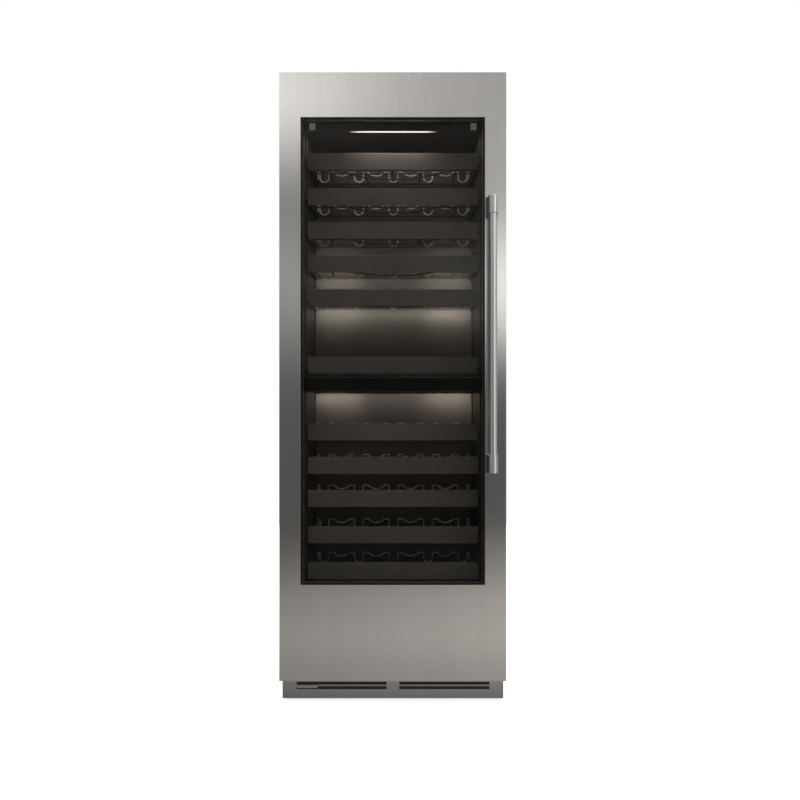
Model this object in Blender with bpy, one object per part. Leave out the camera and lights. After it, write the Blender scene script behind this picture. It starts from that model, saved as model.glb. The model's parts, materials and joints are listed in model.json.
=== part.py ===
"""Full-height, two-zone wine cooler column, built as the assembly that comes apart on a bench.

Metres, +Z up. The origin is on the floor, under the centre of the whole object. The front faces -Y, and
the door hangs on its left edge, at -X.
"""
import math

import bmesh
import bpy

GAP = 0.0003  # clearance between two pieces that touch
OVER = 0.004  # how far joined shapes reach into each other

# Overall size
WIDTH = 0.762
HEIGHT = 2.134
DOOR_FACE_Y = -0.274
BACK_Y = 0.349

# Door
DOOR_BOTTOM_Z = 0.090
DOOR_SKIN = 0.022
DOOR_SHEET = 0.0015
DOOR_LIP = 0.015
DOOR_EDGE_RADIUS = 0.0006
WINDOW_HALF = 0.3097
WINDOW_LOW_Z = 0.4123
WINDOW_HIGH_Z = 1.982
INNER_FRAME_HALF = 0.372
INNER_FRAME_LOW_Z = 0.116
INNER_FRAME_HIGH_Z = 2.108
INNER_FRAME_BACK_Y = -0.214
BEAD = 0.0035  # how far the inner frame shows inside the window
OUTER_PANE_Y = -0.270
INNER_PANE_Y = -0.243
PANE = 0.004
RECESS_HALF = 0.3105
RECESS_LOW_Z = 0.404
RECESS_HIGH_Z = 1.985
GASKET_HALF = 0.336
GASKET_WIDTH = 0.018
GASKET_LOW_Z = 0.368
GASKET_HIGH_Z = 1.997

# Handle
HANDLE_X = 0.332
HANDLE_Y = -0.3335
HANDLE_LOW_Z = 0.792
HANDLE_HIGH_Z = 1.708
HANDLE_BAR_RADIUS = 0.0125
HANDLE_END_RADIUS = 0.0155
HANDLE_END_LENGTH = 0.058
HANDLE_POST_RADIUS = 0.009

# Hinge
HINGE_X = -0.361
HINGE_Y = -0.233
PIN_RADIUS = 0.005
PIN_BORE_RADIUS = 0.0053
PIN_BORE_DEPTH = 0.0295
PIN_END_GAP = 0.002
BRACKET_LEFT_X = -0.3685
BRACKET_RIGHT_X = -0.345
BRACKET_FRONT_Y = -0.245
BRACKET_PLATE = 0.004
BRACKET_TALL = 0.044
BRACKET_CLEARANCE = 0.0015

# Cabinet
FACE_Y = -0.1995
SHEET = 0.002
CASE_HALF = 0.3755
CASE_LOW_Z = 0.102
CASE_TOP_Z = 2.126
BASE_TOP_Z = 0.345
BASE_PAN_Z = 0.050
BASE_PAN = 0.003
TOE_Y = -0.178
LINER_HALF = 0.305
LINER_BACK_Y = 0.262
UPPER_ZONE_Z = (1.119, 1.963)
LOWER_ZONE_Z = (0.400, 1.061)
LINER_SPLIT_Z = 1.090
DIVIDER_DEPTH = 0.034

# Racks: the height of each front strip's top edge, from the top down
UPPER_RACK_TOPS = (1.890, 1.768, 1.651, 1.535, 1.417, 1.183)
LOWER_RACK_TOPS = (0.952, 0.836, 0.721, 0.595, 0.470)
DISPLAY_RACK = 6
RACK_HALF = 0.2955
STRIP_TALL = 0.059
STRIP_FRONT_Y = -0.159
STRIP_THICK = 0.008
RUNNER_WIDTH = 0.012
RUNNER_TALL = 0.010
CRADLE_DROP = 0.040  # from the strip's top edge to the underside of the cradle
CRADLE_CREST_DROP = 0.004
CRADLE_BACK_Y = 0.185
SCALLOP_RADIUS = 0.038
SCALLOP_HALF = 0.029
SCALLOP_STEPS = 4
SCALLOP_BAR = 0.006
SCALLOP_BAR_Y = (-0.125, 0.115)
STAY_X = 0.095
BOTTLES = 9
DISPLAY_BOTTLES = 7
BOTTLE_PITCH = 0.0645
DISPLAY_PITCH = 0.079
LEDGE_INNER_X = 0.2885
LEDGE = 0.004
RAIL_STRIP = 0.003
RAIL_Y = (-0.150, 0.190)
DUCT_PANEL_Y = 0.200
DUCT_PANEL = 0.0028
DUCT_PANEL_HALF = 0.298
DUCT_AIR_GAP = 0.018  # the slot over each duct panel that lets cold air out
ZONE_FAN_DROP = 0.150  # from a zone's ceiling to its fan's axis
LED_HALF = 0.150
LED_Y = (-0.192, -0.180)
LED_TALL = 0.008

# Toe grille
GRILLE_HALF = 0.3805
GRILLE_Y = -0.184
GRILLE_SHEET = 0.003
GRILLE_Z = (0.006, 0.1012)
GRILLE_SLOT_X = (0.022, 0.332)
GRILLE_SLOTS_Z = ((0.037, 0.048), (0.053, 0.063))

# Machine compartment and supports
LEG_X = 0.310
LEG_Y = -0.130
LEG_HOLE_RADIUS = 0.0068
ROLLER_Y = 0.270
ROLLER_RADIUS = 0.020
ROLLER_HALF = 0.010
AXLE_RADIUS = 0.004
INLET_X = 0.300
INLET_Z = 0.200
INLET_HALF_WIDTH = 0.026
INLET_HALF_TALL = 0.016
VENT_X = (-0.300, -0.060)
VENT_LOW_Z = 0.150
VENT_PITCH = 0.030
VENT_TALL = 0.008
VENT_ROWS = 5
COMPRESSOR_CENTRE = (0.170, 0.180)
CONDENSER_X = -0.220
CONDENSER_Z = 0.195
CONDENSER_HALF = 0.110
CONDENSER_FAN_RADIUS = 0.088
EVAPORATOR_HALF = 0.200
ZONE_FAN_RADIUS = 0.055

# The six faces of a box whose corners are numbered 4 i + 2 j + k along its three directions
BOX_FACES = ((0, 1, 3, 2), (4, 6, 7, 5), (0, 4, 5, 1), (2, 3, 7, 6), (0, 2, 6, 4), (1, 5, 7, 3))

MATERIALS = {
    "stainless": ((0.52, 0.50, 0.48), 0.34, 1.0),
    "handle_metal": ((0.46, 0.46, 0.46), 0.26, 1.0),
    "chrome": ((0.70, 0.68, 0.64), 0.14, 1.0),
    "black_plastic": ((0.014, 0.014, 0.014), 0.42, 0.0),
    "black_glass": ((0.006, 0.006, 0.007), 0.06, 0.0),
    "tinted_glass": ((0.050, 0.048, 0.045), 0.03, 0.0),
    "rubber": ((0.018, 0.018, 0.018), 0.75, 0.0),
    "rack_front": ((0.045, 0.042, 0.037), 0.46, 0.0),
    "liner": ((0.055, 0.052, 0.048), 0.50, 0.0),
    "duct_panel": ((0.42, 0.37, 0.31), 0.48, 0.0),
    "case": ((0.30, 0.30, 0.30), 0.50, 0.6),
    "galvanised": ((0.48, 0.49, 0.50), 0.42, 0.9),
    "foam": ((0.78, 0.70, 0.46), 0.85, 0.0),
    "led": ((1.0, 0.90, 0.76), 0.35, 0.0),
    "copper": ((0.72, 0.38, 0.22), 0.30, 1.0),
    "compressor": ((0.020, 0.020, 0.022), 0.38, 0.0),
}


def clear_scene():
    for existing in list(bpy.data.objects):
        bpy.data.objects.remove(existing, do_unlink=True)


def material(name):
    found = bpy.data.materials.get(name)
    if found:
        return found
    colour, roughness, metallic = MATERIALS[name]
    made = bpy.data.materials.new(name)
    made.use_nodes = True
    made.diffuse_color = (*colour, 1.0)
    shader = made.node_tree.nodes["Principled BSDF"]
    shader.inputs["Base Color"].default_value = (*colour, 1.0)
    shader.inputs["Roughness"].default_value = roughness
    shader.inputs["Metallic"].default_value = metallic
    if name == "led":
        shader.inputs["Emission Color"].default_value = (*colour, 1.0)
        shader.inputs["Emission Strength"].default_value = 4.0
    return made


# Shapes, each returned as a closed mesh


def mesh_of(name, bm):
    bmesh.ops.recalc_face_normals(bm, faces=bm.faces)
    mesh = bpy.data.meshes.new(name)
    bm.to_mesh(mesh)
    bm.free()
    return mesh


def box(x, y, z):
    """A box from three (low, high) pairs."""
    bm = bmesh.new()
    corners = [bm.verts.new((a, b, c)) for a in x for b in y for c in z]
    for face in BOX_FACES:
        bm.faces.new([corners[i] for i in face])
    return mesh_of("box", bm)


def both_ways(half):
    return (-half, half)


def prism(outline, along, span):
    """A closed outline pushed along an axis. It lies in the two other axes, in X, Y, Z order."""
    order = {"X": (2, 0, 1), "Y": (0, 2, 1), "Z": (0, 1, 2)}[along]
    bm = bmesh.new()
    rings = []
    for level in span:
        rings.append([bm.verts.new([(a, b, level)[i] for i in order]) for a, b in outline])
    bm.faces.new(rings[0])
    bm.faces.new(list(reversed(rings[1])))
    for i in range(len(outline)):
        j = (i + 1) % len(outline)
        bm.faces.new((rings[0][i], rings[0][j], rings[1][j], rings[1][i]))
    return mesh_of("prism", bm)


def circle(radius, centre=(0.0, 0.0), steps=16):
    turns = [2 * math.pi * (i + 0.5) / steps for i in range(steps)]
    return [(centre[0] + radius * math.cos(t), centre[1] + radius * math.sin(t)) for t in turns]


def rod(radius, centre, along, span, steps=16):
    """A round bar. The centre is in the two axes that it doesn't run along, in X, Y, Z order."""
    return prism(circle(radius, centre, steps), along, span)


def turned(profile, centre, steps=20):
    """A solid turned about a vertical line. The profile runs from the bottom up, as (radius, z)."""
    bm = bmesh.new()
    rings = []
    for radius, z in profile:
        rings.append([bm.verts.new((x, y, z)) for x, y in circle(radius, centre, steps)])
    for low, high in zip(rings, rings[1:]):
        for i in range(steps):
            j = (i + 1) % steps
            bm.faces.new((low[i], low[j], high[j], high[i]))
    bm.faces.new(list(reversed(rings[0])))
    bm.faces.new(rings[-1])
    return mesh_of("turned", bm)


# Assembling objects


def helper(mesh):
    made = bpy.data.objects.new("helper", mesh)
    made.hide_render = True
    made.display_type = "WIRE"
    bpy.context.scene.collection.objects.link(made)
    return made


def combined(base, joined=(), cut=()):
    """One mesh: the base with the joined shapes added and then the cut shapes taken away."""
    target = helper(base)
    helpers = [target]
    for operation, shapes in (("UNION", joined), ("DIFFERENCE", cut)):
        for shape in shapes:
            tool = helper(shape)
            helpers.append(tool)
            modifier = target.modifiers.new(operation.lower(), "BOOLEAN")
            modifier.operation = operation
            modifier.solver = "EXACT"
            modifier.object = tool
    graph = bpy.context.evaluated_depsgraph_get()
    graph.update()
    mesh = bpy.data.meshes.new_from_object(target.evaluated_get(graph))
    for used in helpers:
        bpy.data.objects.remove(used, do_unlink=True)
    return mesh


def piece(name, mesh, finish, rounding=0.0, smooth=False):
    """A named sub-part of the cooler, with an optional rounding of its sharp edges."""
    made = bpy.data.objects.new(name, mesh)
    bpy.context.scene.collection.objects.link(made)
    mesh.materials.clear()
    mesh.materials.append(material(finish))
    if rounding:
        bevel = made.modifiers.new("rounding", "BEVEL")
        bevel.width = rounding
        bevel.segments = 2
        bevel.limit_method = "ANGLE"
    if smooth:
        mesh.shade_smooth()
        mesh.set_sharp_from_angle(angle=math.radians(35))
    return made


def move_origin(made, point):
    """Put the object's origin on its joint's axis, leaving its shape where it is."""
    for vertex in made.data.vertices:
        vertex.co = [c - p for c, p in zip(vertex.co, point)]
    made.location = point


# Door


def window_box(margin, y):
    """The window's outline, larger by a margin, as a box."""
    return box(both_ways(WINDOW_HALF + margin), y, (WINDOW_LOW_Z - margin, WINDOW_HIGH_Z + margin))


def door_panel():
    """A folded pan: a skin with a window, returns on every edge, and a lip behind the outer returns."""
    back_y = DOOR_FACE_Y + DOOR_SKIN
    slab = box(both_ways(WIDTH / 2), (DOOR_FACE_Y, back_y), (DOOR_BOTTOM_Z, HEIGHT))
    window = window_box(0.0, (DOOR_FACE_Y - OVER, back_y + OVER))
    wall = DOOR_SHEET
    outer_half = WIDTH / 2 - wall
    hollow = box(
        both_ways(outer_half), (DOOR_FACE_Y + wall, back_y - wall), (DOOR_BOTTOM_Z + wall, HEIGHT - wall)
    )
    mouth = box(
        both_ways(outer_half - DOOR_LIP),
        (back_y - wall - OVER, back_y + OVER),
        (DOOR_BOTTOM_Z + wall + DOOR_LIP, HEIGHT - wall - DOOR_LIP),
    )
    around_window = window_box(wall, (DOOR_FACE_Y, back_y + 2 * OVER))
    cavity = combined(hollow, [mouth], [around_window])
    return piece("door_panel", combined(slab, cut=[window, cavity]), "stainless", DOOR_EDGE_RADIUS)


def door_inner_frame():
    front_y = DOOR_FACE_Y + DOOR_SKIN + GAP
    body = box(
        both_ways(INNER_FRAME_HALF), (front_y, INNER_FRAME_BACK_Y), (INNER_FRAME_LOW_Z, INNER_FRAME_HIGH_Z)
    )
    bead = window_box(-2 * GAP, (OUTER_PANE_Y + PANE + GAP, front_y + OVER))
    opening = window_box(-BEAD, (DOOR_FACE_Y, INNER_FRAME_BACK_Y + OVER))
    recess = box(
        both_ways(RECESS_HALF),
        (INNER_PANE_Y - GAP, INNER_FRAME_BACK_Y + OVER),
        (RECESS_LOW_Z, RECESS_HIGH_Z),
    )
    axis = (HINGE_X, HINGE_Y)
    low_span = (INNER_FRAME_LOW_Z - OVER, INNER_FRAME_LOW_Z + PIN_BORE_DEPTH)
    high_span = (INNER_FRAME_HIGH_Z - PIN_BORE_DEPTH, INNER_FRAME_HIGH_Z + OVER)
    low_bore = rod(PIN_BORE_RADIUS, axis, "Z", low_span)
    high_bore = rod(PIN_BORE_RADIUS, axis, "Z", high_span)
    mesh = combined(body, [bead], [opening, recess, low_bore, high_bore])
    return piece("door_inner_frame", mesh, "black_plastic")


def door_panes():
    outer = window_box(-2 * GAP, (OUTER_PANE_Y, OUTER_PANE_Y + PANE))
    inner = box(
        both_ways(RECESS_HALF - GAP),
        (INNER_PANE_Y, INNER_PANE_Y + PANE),
        (RECESS_LOW_Z + GAP, RECESS_HIGH_Z - GAP),
    )
    return [
        piece("door_glass_outer", outer, "tinted_glass"),
        piece("door_glass_inner", inner, "tinted_glass"),
    ]


def door_gasket():
    span = (INNER_FRAME_BACK_Y + GAP, FACE_Y - GAP)
    ring = box(both_ways(GASKET_HALF), span, (GASKET_LOW_Z, GASKET_HIGH_Z))
    hole = box(
        both_ways(GASKET_HALF - GASKET_WIDTH),
        (span[0] - OVER, span[1] + OVER),
        (GASKET_LOW_Z + GASKET_WIDTH, GASKET_HIGH_Z - GASKET_WIDTH),
    )
    return piece("door_gasket", combined(ring, cut=[hole]), "rubber")


def handle():
    bar_span = (HANDLE_LOW_Z + HANDLE_END_LENGTH + GAP, HANDLE_HIGH_Z - HANDLE_END_LENGTH - GAP)
    bar = rod(HANDLE_BAR_RADIUS, (HANDLE_X, HANDLE_Y), "Z", bar_span, steps=20)
    pieces = [piece("handle_bar", bar, "handle_metal", smooth=True)]
    lows = {"handle_end_lower": HANDLE_LOW_Z, "handle_end_upper": HANDLE_HIGH_Z - HANDLE_END_LENGTH}
    for name, low in lows.items():
        cap = rod(HANDLE_END_RADIUS, (HANDLE_X, HANDLE_Y), "Z", (low, low + HANDLE_END_LENGTH), steps=20)
        middle = low + HANDLE_END_LENGTH / 2
        post = rod(HANDLE_POST_RADIUS, (HANDLE_X, middle), "Y", (HANDLE_Y, DOOR_FACE_Y - GAP))
        pieces.append(piece(name, combined(cap, [post]), "handle_metal", smooth=True))
    return pieces


def door():
    parts = [door_panel(), door_inner_frame(), *door_panes(), door_gasket(), *handle()]
    for part in parts:
        move_origin(part, (HINGE_X, HINGE_Y, 0.0))


def hinge_bracket(name, plate_low_z, pin_span, upright_span):
    """A plate on the cabinet's face that carries one upright pin for the door."""
    width = (BRACKET_LEFT_X, BRACKET_RIGHT_X)
    plate = box(width, (BRACKET_FRONT_Y, FACE_Y - GAP), (plate_low_z, plate_low_z + BRACKET_PLATE))
    upright = box(width, (FACE_Y - GAP - BRACKET_PLATE, FACE_Y - GAP), upright_span)
    pin = rod(PIN_RADIUS, (HINGE_X, HINGE_Y), "Z", pin_span)
    return piece(name, combined(plate, [upright, pin]), "galvanised")


def hinge_brackets():
    upper = INNER_FRAME_HIGH_Z + BRACKET_CLEARANCE
    lower = INNER_FRAME_LOW_Z - BRACKET_CLEARANCE - BRACKET_PLATE
    pin_top_end = INNER_FRAME_HIGH_Z - PIN_BORE_DEPTH + PIN_END_GAP
    pin_low_end = INNER_FRAME_LOW_Z + PIN_BORE_DEPTH - PIN_END_GAP
    hinge_bracket(
        "hinge_bracket_upper",
        upper,
        (pin_top_end, upper + BRACKET_PLATE / 2),
        (upper + BRACKET_PLATE - BRACKET_TALL, upper + BRACKET_PLATE),
    )
    hinge_bracket(
        "hinge_bracket_lower",
        lower,
        (lower + BRACKET_PLATE / 2, pin_low_end),
        (lower, lower + BRACKET_TALL),
    )


# Cabinet


def outer_case():
    inner = CASE_HALF - SHEET
    outline = [
        (-CASE_HALF, CASE_LOW_Z),
        (-CASE_HALF, CASE_TOP_Z),
        (CASE_HALF, CASE_TOP_Z),
        (CASE_HALF, CASE_LOW_Z),
        (inner, CASE_LOW_Z),
        (inner, CASE_TOP_Z - SHEET),
        (-inner, CASE_TOP_Z - SHEET),
        (-inner, CASE_LOW_Z),
    ]
    piece("outer_case", prism(outline, "Y", (FACE_Y, BACK_Y - SHEET - GAP)), "case")


def back_panel():
    sheet = box(both_ways(CASE_HALF), (BACK_Y - SHEET, BACK_Y), (CASE_LOW_Z, CASE_TOP_Z))
    through = (BACK_Y - SHEET - OVER, BACK_Y + OVER)
    inlet_x = (INLET_X - INLET_HALF_WIDTH, INLET_X + INLET_HALF_WIDTH)
    inlet_z = (INLET_Z - INLET_HALF_TALL, INLET_Z + INLET_HALF_TALL)
    cuts = [box(inlet_x, through, inlet_z)]
    for row in range(VENT_ROWS):
        low = VENT_LOW_Z + VENT_PITCH * row
        cuts.append(box(VENT_X, through, (low, low + VENT_TALL)))
    piece("back_panel", combined(sheet, cut=cuts), "galvanised")


def liner(name, zone, flange_z):
    """A five-sided box, open at the front, with a flange that covers the cabinet's face."""
    low, high = zone
    side = CASE_HALF - SHEET - GAP
    flange = box(both_ways(side), (FACE_Y, FACE_Y + SHEET), flange_z)
    body = box(both_ways(LINER_HALF + SHEET), (FACE_Y, LINER_BACK_Y + SHEET), (low - SHEET, high + SHEET))
    hollow = box(both_ways(LINER_HALF), (FACE_Y - OVER, LINER_BACK_Y), (low, high))
    divider = box(
        both_ways(LINER_HALF + SHEET),
        (FACE_Y - OVER, FACE_Y + SHEET + OVER),
        (LOWER_ZONE_Z[1] + SHEET, UPPER_ZONE_Z[0] - SHEET),
    )
    piece(name, combined(flange, [body], [hollow, divider]), "liner")


def foam_insulation():
    side = CASE_HALF - SHEET - 2 * GAP
    block = box(
        both_ways(side),
        (FACE_Y + SHEET + GAP, BACK_Y - SHEET - GAP),
        (BASE_TOP_Z + GAP, CASE_TOP_Z - SHEET - GAP),
    )
    pocket_half = LINER_HALF + SHEET + GAP
    cuts = []
    for low, high in (UPPER_ZONE_Z, LOWER_ZONE_Z):
        span = (low - SHEET - GAP, high + SHEET + GAP)
        cuts.append(box(both_ways(pocket_half), (FACE_Y - OVER, LINER_BACK_Y + SHEET + GAP), span))
    divider_z = (LOWER_ZONE_Z[1] - OVER, UPPER_ZONE_Z[0] + OVER)
    cuts.append(box(both_ways(pocket_half), (FACE_Y - OVER, FACE_Y + DIVIDER_DEPTH + GAP), divider_z))
    piece("foam_insulation", combined(block, cut=cuts), "foam")


def control_panel():
    """The dark fascia on the divider between the two zones."""
    span = (LOWER_ZONE_Z[1] + SHEET + 0.0005, UPPER_ZONE_Z[0] - SHEET - 0.0005)
    fascia = box(both_ways(LINER_HALF), (FACE_Y, FACE_Y + DIVIDER_DEPTH), span)
    piece("control_panel", fascia, "black_glass")


def duct_panel(name, zone, fan_z):
    """The pale panel in front of a zone's evaporator. A boss on its back carries the fan."""
    sheet = box(
        both_ways(DUCT_PANEL_HALF),
        (DUCT_PANEL_Y, DUCT_PANEL_Y + DUCT_PANEL),
        (zone[0] + GAP, zone[1] - DUCT_AIR_GAP),
    )
    boss = rod(0.018, (0.0, fan_z), "Y", (DUCT_PANEL_Y + DUCT_PANEL / 2, DUCT_PANEL_Y + 0.012), steps=12)
    piece(name, combined(sheet, [boss]), "duct_panel")


def fin_block(x, y, z, fins, web):
    """A finned heat exchanger: a solid web along its back with fins standing forward."""
    pitch = (x[1] - x[0]) / (2 * fins - 1)
    outline = [(x[1], y[1]), (x[0], y[1])]
    for i in range(fins):
        left = x[0] + 2 * i * pitch
        outline += [(left, y[0]), (left + pitch, y[0])]
        if i < fins - 1:
            outline += [(left + pitch, y[1] - web), (left + 2 * pitch, y[1] - web)]
    return prism(outline, "Z", z)


def fan_blades(name, centre, radius, y, blades):
    """An axial fan: a hub with flat, pitched blades, turning about an axis along Y."""
    hub_radius = 0.28 * radius
    thickness = 0.0025
    tip_half = 0.36 * radius
    rise = ((y[1] - y[0]) / 2 - thickness) / tip_half
    middle = (y[0] + y[1]) / 2
    shapes = []
    for i in range(blades):
        turn = 2 * math.pi * i / blades
        bm = bmesh.new()
        corners = []
        for reach, half in ((0.6 * hub_radius, 0.4 * hub_radius), (0.93 * radius, tip_half)):
            for across in (-half, half):
                x = centre[0] + reach * math.cos(turn) - across * math.sin(turn)
                z = centre[1] + reach * math.sin(turn) + across * math.cos(turn)
                for depth in (-thickness / 2, thickness / 2):
                    corners.append(bm.verts.new((x, middle + rise * across + depth, z)))
        for face in BOX_FACES:
            bm.faces.new([corners[c] for c in face])
        shapes.append(mesh_of("blade", bm))
    hub = rod(hub_radius, centre, "Y", y, steps=12)
    made = piece(name, combined(hub, shapes), "black_plastic")
    move_origin(made, (centre[0], middle, centre[1]))


def cooling(zone_name, zone):
    """The evaporator, its fan and the panel that hides them, behind one zone."""
    low, high = zone
    fan_z = high - ZONE_FAN_DROP
    duct_panel(f"duct_panel_{zone_name}", zone, fan_z)
    block_z = (low + 0.150, low + 0.330)
    block = fin_block(both_ways(EVAPORATOR_HALF), (0.215, 0.250), block_z, 12, 0.008)
    piece(f"evaporator_{zone_name}", block, "galvanised")
    blades_y = (DUCT_PANEL_Y + 0.0135, DUCT_PANEL_Y + 0.0335)
    fan_blades(f"zone_fan_{zone_name}", (0.0, fan_z), ZONE_FAN_RADIUS, blades_y, 5)


def led_bar(name, ceiling_z):
    """A slim light bar under a ceiling, with its front lower edge cut back."""
    front, back = LED_Y
    top = ceiling_z - GAP
    bottom = ceiling_z - LED_TALL
    profile = [(front, top), (back, top), (back, bottom + 0.002), (front + 0.002, bottom)]
    piece(name, prism(profile, "X", both_ways(LED_HALF)), "led")


def rack_rail(name, side, zone, tops):
    """A side strip with one ledge under each rack's runner."""
    outer = LINER_HALF - GAP
    inner = outer - RAIL_STRIP
    outline = [(side * outer, zone[0] + GAP), (side * outer, zone[1] - GAP), (side * inner, zone[1] - GAP)]
    for top in tops:
        ledge_top = top - CRADLE_DROP - GAP
        outline += [(side * inner, ledge_top), (side * LEDGE_INNER_X, ledge_top)]
        outline += [(side * LEDGE_INNER_X, ledge_top - LEDGE), (side * inner, ledge_top - LEDGE)]
    outline.append((side * inner, zone[0] + GAP))
    piece(name, prism(outline, "Y", RAIL_Y), "liner")


def zones():
    liner("upper_liner", UPPER_ZONE_Z, (LINER_SPLIT_Z + GAP, CASE_TOP_Z - SHEET - GAP))
    liner("lower_liner", LOWER_ZONE_Z, (BASE_TOP_Z + GAP, LINER_SPLIT_Z - GAP))
    named = (("upper", UPPER_ZONE_Z, UPPER_RACK_TOPS), ("lower", LOWER_ZONE_Z, LOWER_RACK_TOPS))
    for zone_name, zone, tops in named:
        cooling(zone_name, zone)
        led_bar(f"led_bar_{zone_name}", zone[1])
        rack_rail(f"rack_rail_{zone_name}_left", -1, zone, tops)
        rack_rail(f"rack_rail_{zone_name}_right", 1, zone, tops)


# Racks


def scalloped_bar(pitch, count, y):
    """A cross member at a rack top of z = 0, with a round hollow for each bottle."""
    centre_z = -CRADLE_CREST_DROP + math.sqrt(SCALLOP_RADIUS**2 - SCALLOP_HALF**2)
    half_turn = math.asin(SCALLOP_HALF / SCALLOP_RADIUS)
    half = RACK_HALF - 0.002
    shoulder_z = -CRADLE_CREST_DROP - 0.020
    outline = [(half, -CRADLE_DROP), (-half, -CRADLE_DROP), (-half, shoulder_z)]
    for bottle in range(count):
        x = (bottle - (count - 1) / 2) * pitch
        for step in range(SCALLOP_STEPS + 1):
            turn = half_turn * (2 * step / SCALLOP_STEPS - 1)
            outline.append((x + SCALLOP_RADIUS * math.sin(turn), centre_z - SCALLOP_RADIUS * math.cos(turn)))
    outline.append((half, shoulder_z))
    return prism(outline, "Y", (y, y + SCALLOP_BAR))


def cradle_mesh(pitch, count):
    """Two runners and cross members in one welded frame, for a rack whose top edge is at z = 0."""
    low = -CRADLE_DROP
    front = STRIP_FRONT_Y + STRIP_THICK + GAP
    inner = RACK_HALF - RUNNER_WIDTH
    runner_z = (low, low + RUNNER_TALL)
    left = box((-RACK_HALF, -inner), (front, CRADLE_BACK_Y), runner_z)
    right = box((inner, RACK_HALF), (front, CRADLE_BACK_Y), runner_z)
    across = both_ways(RACK_HALF - 0.001)
    bar_z = (low + 0.001, low + 0.008)
    rear = box(across, (CRADLE_BACK_Y - 0.007, CRADLE_BACK_Y - 0.001), bar_z)
    middle = box(across, (-0.003, 0.003), bar_z)
    stays = []
    for x in (-STAY_X, STAY_X):
        stay_y = (SCALLOP_BAR_Y[0] + SCALLOP_BAR / 2, CRADLE_BACK_Y - 0.004)
        stays.append(box((x - 0.003, x + 0.003), stay_y, (low + 0.002, low + 0.007)))
    bars = [scalloped_bar(pitch, count, y) for y in SCALLOP_BAR_Y]
    return combined(left, [right, rear, middle, *stays, *bars])


def racks():
    usual = cradle_mesh(BOTTLE_PITCH, BOTTLES)
    display = cradle_mesh(DISPLAY_PITCH, DISPLAY_BOTTLES)
    strip_y = (STRIP_FRONT_Y, STRIP_FRONT_Y + STRIP_THICK)
    strip = box(both_ways(RACK_HALF), strip_y, (-STRIP_TALL, 0.0))
    for number, top in enumerate(UPPER_RACK_TOPS + LOWER_RACK_TOPS, start=1):
        carrier = bpy.data.objects.new(f"rack_{number:02d}", None)
        bpy.context.scene.collection.objects.link(carrier)
        carrier.location = (0.0, 0.0, top)
        cradle_shape = display if number == DISPLAY_RACK else usual
        cradle = piece(f"rack_cradle_{number:02d}", cradle_shape, "chrome")
        front = piece(f"rack_front_{number:02d}", strip, "rack_front")
        cradle.parent = carrier
        front.parent = carrier


# Base, supports and machine compartment


def base_frame():
    side = CASE_HALF - SHEET - 2 * GAP
    inner = side - SHEET
    back = BACK_Y - SHEET - GAP
    block = box(both_ways(side), (FACE_Y, back), (BASE_PAN_Z, BASE_TOP_Z))
    hollow_z = (BASE_PAN_Z + BASE_PAN, BASE_TOP_Z - SHEET)
    hollow = box(both_ways(inner), (FACE_Y + SHEET, back + OVER), hollow_z)
    toe_space = box(both_ways(WIDTH), (FACE_Y - OVER, TOE_Y), (BASE_PAN_Z - OVER, CASE_LOW_Z - GAP))
    joined = []
    cuts = [hollow, toe_space]
    for sign in (-1, 1):
        x = sign * LEG_X
        hole_z = (BASE_PAN_Z - OVER, BASE_PAN_Z + BASE_PAN + OVER)
        cuts.append(rod(LEG_HOLE_RADIUS, (x, LEG_Y), "Z", hole_z))
        joined.append(rod(AXLE_RADIUS, (ROLLER_Y, ROLLER_RADIUS), "X", (x - 0.0135, x + 0.0135), steps=12))
        for cheek_x in (x - 0.0145, x + 0.0115):
            cheek_y = (ROLLER_Y - 0.008, ROLLER_Y + 0.008)
            joined.append(box((cheek_x, cheek_x + 0.003), cheek_y, (0.011, BASE_PAN_Z + 0.001)))
    shell = combined(block, cut=cuts)
    piece("base_frame", combined(shell, joined), "galvanised")


def toe_grille():
    thickness = (GRILLE_Y, GRILLE_Y + GRILLE_SHEET)
    front = box(both_ways(GRILLE_HALF), thickness, GRILLE_Z)
    returns = []
    for sign in (-1, 1):
        x = sorted((sign * GRILLE_HALF, sign * (GRILLE_HALF - GRILLE_SHEET)))
        returns.append(box(x, (GRILLE_Y, -0.100), GRILLE_Z))
    cuts = []
    for sign in (-1, 1):
        x = sorted((sign * GRILLE_SLOT_X[0], sign * GRILLE_SLOT_X[1]))
        for span in GRILLE_SLOTS_Z:
            cuts.append(box(x, (GRILLE_Y - OVER, GRILLE_Y + GRILLE_SHEET + OVER), span))
    piece("toe_grille", combined(front, returns, cuts), "stainless")


def levelling_leg(name, x):
    """A screwed leg: a round foot, its stem and the hexagon that a spanner turns."""
    profile = [(0.020, 0.0), (0.022, 0.002), (0.022, 0.007), (0.012, 0.011), (0.006, 0.012), (0.006, 0.085)]
    stem = turned(profile, (x, LEG_Y), 16)
    hexagon = rod(0.011, (x, LEG_Y), "Z", (0.038, 0.046), steps=6)
    made = piece(name, combined(stem, [hexagon]), "galvanised", smooth=True)
    move_origin(made, (x, LEG_Y, 0.0))


def roller(name, x):
    centre = (ROLLER_Y, ROLLER_RADIUS)
    wheel = rod(ROLLER_RADIUS, centre, "X", (x - ROLLER_HALF, x + ROLLER_HALF), steps=24)
    bore = rod(AXLE_RADIUS + 0.0005, centre, "X", (x - 0.02, x + 0.02), steps=12)
    made = piece(name, combined(wheel, cut=[bore]), "rubber", smooth=True)
    move_origin(made, (x, ROLLER_Y, ROLLER_RADIUS))


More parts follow.
